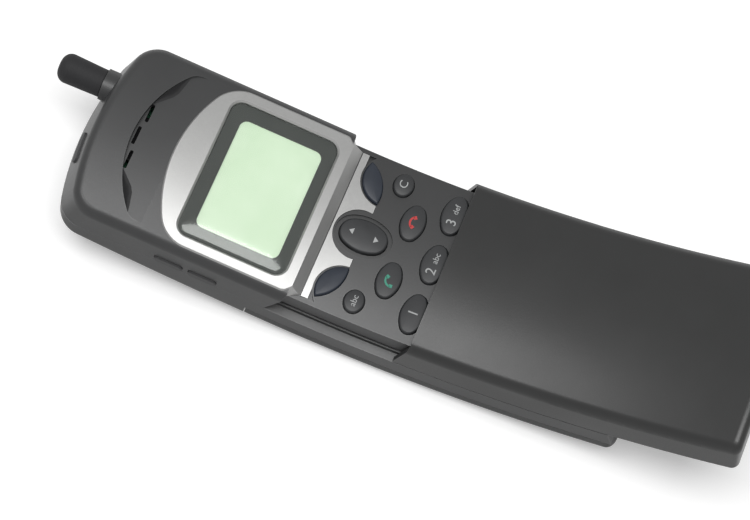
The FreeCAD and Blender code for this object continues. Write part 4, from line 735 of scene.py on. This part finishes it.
def taper_cove(shape, centre):
    """Fade a cove into the dish towards both of its ends."""
    for vert in shape.verts:
        spoke = vert.co - centre
        turn = abs(math.atan2(spoke.x, spoke.y))
        share = min((turn - COVE_FROM) / COVE_FADE, (COVE_TO - turn) / COVE_FADE, 1)
        share = max(share, COVE_TIP) ** COVE_TIP_POWER
        reach = DISH_BOW - (DISH_BOW - spoke.xy.length) * share
        vert.co.xy = centre.xy + spoke.xy.normalized() * reach
        vert.co.z *= share


def dish_coves():
    """The soft coves at the foot of the step round the ear dish, either side of the sound slots. Their darker,
    matt finish is painted shade for the dark band in the groove.
    """
    dish = head_place(0, DISH_HINGE, 0) @ Matrix.Rotation(-DISH_LEAN, 4, "X")
    centre = Vector((0, DISH_REACH - DISH_BOW, 0))
    section = ((DISH_BOW - COVE_WIDTH, COVE_START), (DISH_BOW - COVE_WIDTH * COVE_BEND, COVE_ROOT),
               (DISH_BOW + COVE_ROOT, COVE_RISE), (DISH_BOW + COVE_ROOT, -COVE_ROOT))
    for side, name in ((-1, "dish_cove_left"), (1, "dish_cove_right")):
        shape = bmesh.new()
        profile = [shape.verts.new(centre + Vector((0, reach, rise))) for reach, rise in section]
        edges = [shape.edges.new((profile[i], profile[i - 1])) for i in range(len(profile))]
        start = Matrix.Rotation(-side * COVE_FROM, 3, "Z")
        bmesh.ops.rotate(shape, verts=profile, cent=centre, matrix=start)
        sweep = -side * (COVE_TO - COVE_FROM)
        bmesh.ops.spin(shape, geom=profile + edges, cent=centre, axis=(0, 0, 1), angle=sweep,
                       steps=COVE_STEPS, use_merge=False)
        ends = [edge for edge in shape.edges if edge.is_boundary]
        bmesh.ops.holes_fill(shape, edges=ends, sides=len(profile))
        taper_cove(shape, centre)
        bmesh.ops.recalc_face_normals(shape, faces=shape.faces)
        shape.transform(dish)
        # Each cove wears the painted shade finish, darker than the case round it.
        add_piece(name, to_mesh(shape, name), COVE_PAINTED_SHADE, body_of["front_cover"])


def battery_lip():
    """The thin lip at the battery's upper end that closes the gap to the rear cover."""
    shape = bmesh.new()
    bmesh.ops.create_cube(shape, size=1)
    size = (LIP_HALF * 2, LIP_SHEET, LIP_BACK - LIP_TOP)
    bmesh.ops.scale(shape, vec=size, verts=shape.verts)
    back_corners = [edge for edge in shape.edges
                    if edge.calc_length() < MM and all(vert.co.z < 0 for vert in edge.verts)]
    bmesh.ops.bevel(shape, geom=back_corners, offset=LIP_ROUND, offset_type="OFFSET",
                    segments=LIP_SEGMENTS, profile=0.5, affect="EDGES", material=-1)
    shape.transform(head_place(0, LIP_Y, (LIP_TOP + LIP_BACK) / 2))
    add_piece("battery_lip", to_mesh(shape, "battery_lip"), finishes["pack"],
              body_of["battery_case"])


# Keys

KEY_FULLNESS = 2.4
KEY_RISE = 0.28 * MM
SMALL_KEY_RISE = 0.24 * MM
SCROLL_KEY_RISE = 0.3 * MM
SOFT_KEY_RISE = 0.2 * MM
INK_LIFT = 0.02 * MM
INK_SINK = 0.06 * MM
INK_MERGE = 0.001 * MM

# Legends, and where they lie on a key's top.
DIGIT_SIZE = 3.6 * MM
DIGIT_X = -2.2 * MM
LETTERS_SIZE = 2.1 * MM
LETTERS_X = 1.4 * MM
WORD_SIZE = 2.2 * MM
LETTER_SIZE = 3 * MM
LETTER_STEPS = 3
ARROW_RADIUS = 0.95 * MM
ARROW_FLATTER = 0.8
ARROW_Y = 3.1 * MM

# The handset mark: its bowed grip, and the cup at each end of it.
GRIP_REACH = 1.7 * MM
GRIP_HALF = 0.25 * MM
GRIP_TURN = math.radians(52)
GRIP_STEPS = 10
GRIP_Y = -0.9 * MM
CUP_HALF = 0.42 * MM
CUP_INSIDE = 0.2 * MM
CUP_LONGER = 1.05
CUP_TURN = 1.12
CALL_TILT = math.radians(35)

# The nib under the 5, flattened and longer across.
NIB_RADIUS = 0.42 * MM
NIB_SHAPE = (1.4, 1, 0.7)
NIB_Y = -2.1 * MM

DIGIT_KEYS = ("1", "2", "3", "4", "5", "6", "7", "8", "9", "star", "0", "hash")
LETTERS = {"2": "abc", "3": "def", "4": "ghi", "5": "jkl",
           "6": "mno", "7": "pqrs", "8": "tuv", "9": "wxyz"}
SIGNS = {"star": "*", "hash": "#"}


def crowned_piece(node, rise):
    """A key whose flat top is drawn up into a crown. It gives the place of the crown's top."""
    shape = merged_copy(node)
    place = face_place(node, shape)
    shape.transform(place.inverted())
    draw_up(shape, flat_top(shape), rise, KEY_FULLNESS)
    height = max(vert.co.z for vert in shape.verts)
    replace_node(node, shape, "top_" + node, place, SMOOTH_CROWN)
    return place @ Matrix.Translation((0, 0, height))


def lettering(text, size, x=0):
    """Solid letters lying flat, their face just above nought and their foot below it."""
    curve = bpy.data.curves.new("lettering", "FONT")
    curve.body = text
    curve.size = size
    curve.align_x = "CENTER"
    curve.align_y = "CENTER"
    curve.resolution_u = LETTER_STEPS
    curve.extrude = (INK_LIFT + INK_SINK) / 2
    letters = bpy.data.objects.new("lettering", curve)
    bpy.context.scene.collection.objects.link(letters)
    bpy.context.view_layer.update()
    solid = letters.evaluated_get(bpy.context.evaluated_depsgraph_get())
    mesh = bpy.data.meshes.new_from_object(solid)
    mesh.transform(Matrix.Translation((x, 0, (INK_LIFT - INK_SINK) / 2)))
    bpy.data.objects.remove(letters)
    bpy.data.curves.remove(curve)
    return mesh


def print_on(node, top, marks, ink):
    """Join marks into one legend on a key's top."""
    shape = bmesh.new()
    for mark in marks:
        shape.from_mesh(mark)
        bpy.data.meshes.remove(mark)
    bmesh.ops.remove_doubles(shape, verts=shape.verts, dist=INK_MERGE)
    shape.transform(top)
    name = "legend_" + node
    add_piece(name, to_mesh(shape, name), ink, body_of[node])


def arrow(y, way):
    """A small triangle that points up the phone, or down it where the way is -1."""
    shape = bmesh.new()
    bmesh.ops.create_circle(shape, cap_ends=True, segments=3, radius=ARROW_RADIUS)
    bmesh.ops.scale(shape, vec=(1, ARROW_FLATTER * way, 1), verts=shape.verts)
    return raised_mark(shape, y)


def raised_mark(shape, y):
    """Give a flat mark its thickness and put it in its place."""
    thicken(shape, INK_LIFT + INK_SINK)
    highest = max(vert.co.z for vert in shape.verts)
    bmesh.ops.translate(shape, vec=(0, y, INK_LIFT - highest), verts=shape.verts)
    return to_mesh(shape, "mark")


def handset_mark(tilt):
    """The generic sign of a handset: a bowed grip with a cup at each end."""
    shape = bmesh.new()
    inner = shape.verts.new((0, GRIP_REACH - GRIP_HALF, 0))
    outer = shape.verts.new((0, GRIP_REACH + GRIP_HALF, 0))
    grip = shape.edges.new((inner, outer))
    bmesh.ops.rotate(shape, verts=[inner, outer], matrix=Matrix.Rotation(-GRIP_TURN, 3, "Z"))
    bmesh.ops.spin(shape, geom=[inner, outer, grip], axis=(0, 0, 1), cent=(0, 0, 0),
                   angle=GRIP_TURN * 2, steps=GRIP_STEPS, use_merge=False)
    for side in (-1, 1):
        cup = bmesh.ops.create_grid(shape, x_segments=1, y_segments=1, size=CUP_HALF)["verts"]
        turn = Matrix.Rotation(GRIP_TURN * CUP_TURN * side, 3, "Z")
        bmesh.ops.scale(shape, vec=(1, CUP_LONGER, 1), verts=cup)
        bmesh.ops.translate(shape, vec=(0, GRIP_REACH - CUP_INSIDE, 0), verts=cup)
        bmesh.ops.rotate(shape, verts=cup, matrix=turn)
    bmesh.ops.rotate(shape, verts=shape.verts, matrix=Matrix.Rotation(tilt, 3, "Z"))
    return raised_mark(shape, GRIP_Y)


def digit_legend(name):
    """The digit or sign, with its letters to the right of it."""
    sign = SIGNS.get(name, name)
    if name not in LETTERS:
        return [lettering(sign, DIGIT_SIZE)]
    return [lettering(sign, DIGIT_SIZE, DIGIT_X), lettering(LETTERS[name], LETTERS_SIZE, LETTERS_X)]


def raise_nib(node):
    """The bump under the digit of the middle key, to find it by touch."""
    shape = bmesh.new()
    bmesh.ops.create_uvsphere(shape, u_segments=16, v_segments=8, radius=NIB_RADIUS)
    bmesh.ops.scale(shape, vec=NIB_SHAPE, verts=shape.verts)
    place, high, _ = top_of(node)
    shape.transform(place @ Matrix.Translation((0, NIB_Y, high)))
    name = "nib_" + node
    add_piece(name, to_mesh(shape, name), finishes["key"], body_of[node], SMOOTH_NIB)


def keypad():
    """Every key on the deck, with its crown and what is printed on it."""
    for name in DIGIT_KEYS:
        node = "key_" + name
        print_on(node, crowned_piece(node, KEY_RISE), digit_legend(name), PALE_INK)
    for node, word, size in (("abc_key", "abc", WORD_SIZE), ("clear_key", "C", LETTER_SIZE)):
        print_on(node, crowned_piece(node, SMALL_KEY_RISE), [lettering(word, size)], PALE_INK)
    for node, tilt, ink in (("call_key", CALL_TILT, TEAL_INK), ("end_key", 0, RED_INK)):
        print_on(node, crowned_piece(node, KEY_RISE), [handset_mark(tilt)], ink)
    arrows = [arrow(ARROW_Y, 1), arrow(-ARROW_Y, -1)]
    print_on("scroll_key", crowned_piece("scroll_key", SCROLL_KEY_RISE), arrows, PALE_INK)
    raise_nib("key_5")
    for node in ("soft_key_left", "soft_key_right"):
        crowned_piece(node, SOFT_KEY_RISE)


# Camera, lights and floor

CAMERA_TARGET = Vector((-25.164, 3.002, 79.061)) * MM
CAMERA_DISTANCE = 530 * MM
CAMERA_AZIMUTH = math.radians(-75.545)
CAMERA_ELEVATION = math.radians(69.383)
CAMERA_ROLL = math.radians(7.887)
CAMERA_LENS = 115.85
NEAREST_SEEN = 0.01
FURTHEST_SEEN = 50
LAMP_AZIMUTH = math.radians(-90)
LAMP_ELEVATION = math.radians(84)
LAMP_DISTANCE = 0.9
LAMP_WIDTH = 0.36
LAMP_LENGTH = 0.75
LAMP_WATTS = 6.6
WORLD_LIGHT = 0.35
FLOOR_HALF = 2.5
FLOOR_PATCHES = 0.4
FLOOR_GLOW = 0.3


def direction(azimuth, elevation):
    """From the object towards a place round it. Azimuth 0 is the phone's bottom end."""
    flat = math.cos(elevation)
    return Vector((math.sin(azimuth) * flat, -math.cos(azimuth) * flat, math.sin(elevation)))


def place_camera():
    """The camera over the phone's left side, a little rolled."""
    data = bpy.data.cameras.new("camera")
    data.lens = CAMERA_LENS
    data.clip_start = NEAREST_SEEN
    data.clip_end = FURTHEST_SEEN
    camera = bpy.data.objects.new("camera", data)
    bpy.context.scene.collection.objects.link(camera)
    back = direction(CAMERA_AZIMUTH, CAMERA_ELEVATION)
    right = Vector((0, 0, 1)).cross(back).normalized()
    up = back.cross(right)
    level = Matrix((right, up, back)).transposed().to_4x4()
    place = Matrix.Translation(CAMERA_TARGET + back * CAMERA_DISTANCE)
    camera.matrix_world = place @ level @ Matrix.Rotation(CAMERA_ROLL, 4, "Z")
    bpy.context.scene.camera = camera


def hang_softbox():
    """A large soft lamp over the phone, which faces it."""
    data = bpy.data.lights.new("overhead_light", "AREA")
    data.shape = "RECTANGLE"
    data.size = LAMP_WIDTH
    data.size_y = LAMP_LENGTH
    data.energy = LAMP_WATTS
    lamp = bpy.data.objects.new("overhead_light", data)
    bpy.context.scene.collection.objects.link(lamp)
    back = direction(LAMP_AZIMUTH, LAMP_ELEVATION)
    across = Vector((0, 1, 0)).cross(back).normalized()
    turned = Matrix((across, back.cross(across), back)).transposed().to_4x4()
    lamp.matrix_world = Matrix.Translation(back * LAMP_DISTANCE) @ turned


def seen_directly(shading):
    """One for what the camera, a reflection or a view through glass sees, and nought for light."""
    path = shading.node("ShaderNodeLightPath")
    seen = path["Is Camera Ray"] + path["Is Glossy Ray"] + path["Is Transmission Ray"]
    return seen.clamped()


def light_world():
    """White where it is seen, and a lower light than that on the phone."""
    world = bpy.data.worlds.new("studio")
    bpy.context.scene.world = world
    sky = Shading(world)
    strength = WORLD_LIGHT + seen_directly(sky) * (1 - WORLD_LIGHT)
    inputs = {"Color": rgb(1, 1, 1), "Strength": strength}
    background = sky.node("ShaderNodeBackground", None, inputs)["Background"]
    sky.node("ShaderNodeOutputWorld", None, {"Surface": background})


def lay_floor():
    """A plain pale floor that keeps the phone's shadow."""
    shape = bmesh.new()
    bmesh.ops.create_grid(shape, x_segments=1, y_segments=1, size=FLOOR_HALF)
    floor = bpy.data.objects.new("floor", to_mesh(shape, "floor"))
    bpy.context.scene.collection.objects.link(floor)
    finish = Finish("pale_floor")
    cloud = finish.noise(FLOOR_PATCHES, 2)
    paint = finish.blend(cloud, rgb(0.8, 0.8, 0.8), rgb(0.82, 0.82, 0.82))
    matt = finish.node("ShaderNodeBsdfDiffuse", None, {"Color": paint})["BSDF"]
    inputs = {"Strength": seen_directly(finish) * FLOOR_GLOW}
    glow = finish.node("ShaderNodeEmission", None, inputs)["Emission"]
    both = finish.node("ShaderNodeAddShader", None, {0: matt, 1: glow})["Shader"]
    floor.data.materials.append(finish.close(both))


bpy.context.scene.view_settings.view_transform = "Standard"
place_camera()
light_world()
hang_softbox()
lay_floor()
dress_frame()
surround()
trim()
window()
print_frame()
crystal_sheet()
earpiece_felt()
dish_coves()
battery_lip()
keypad()
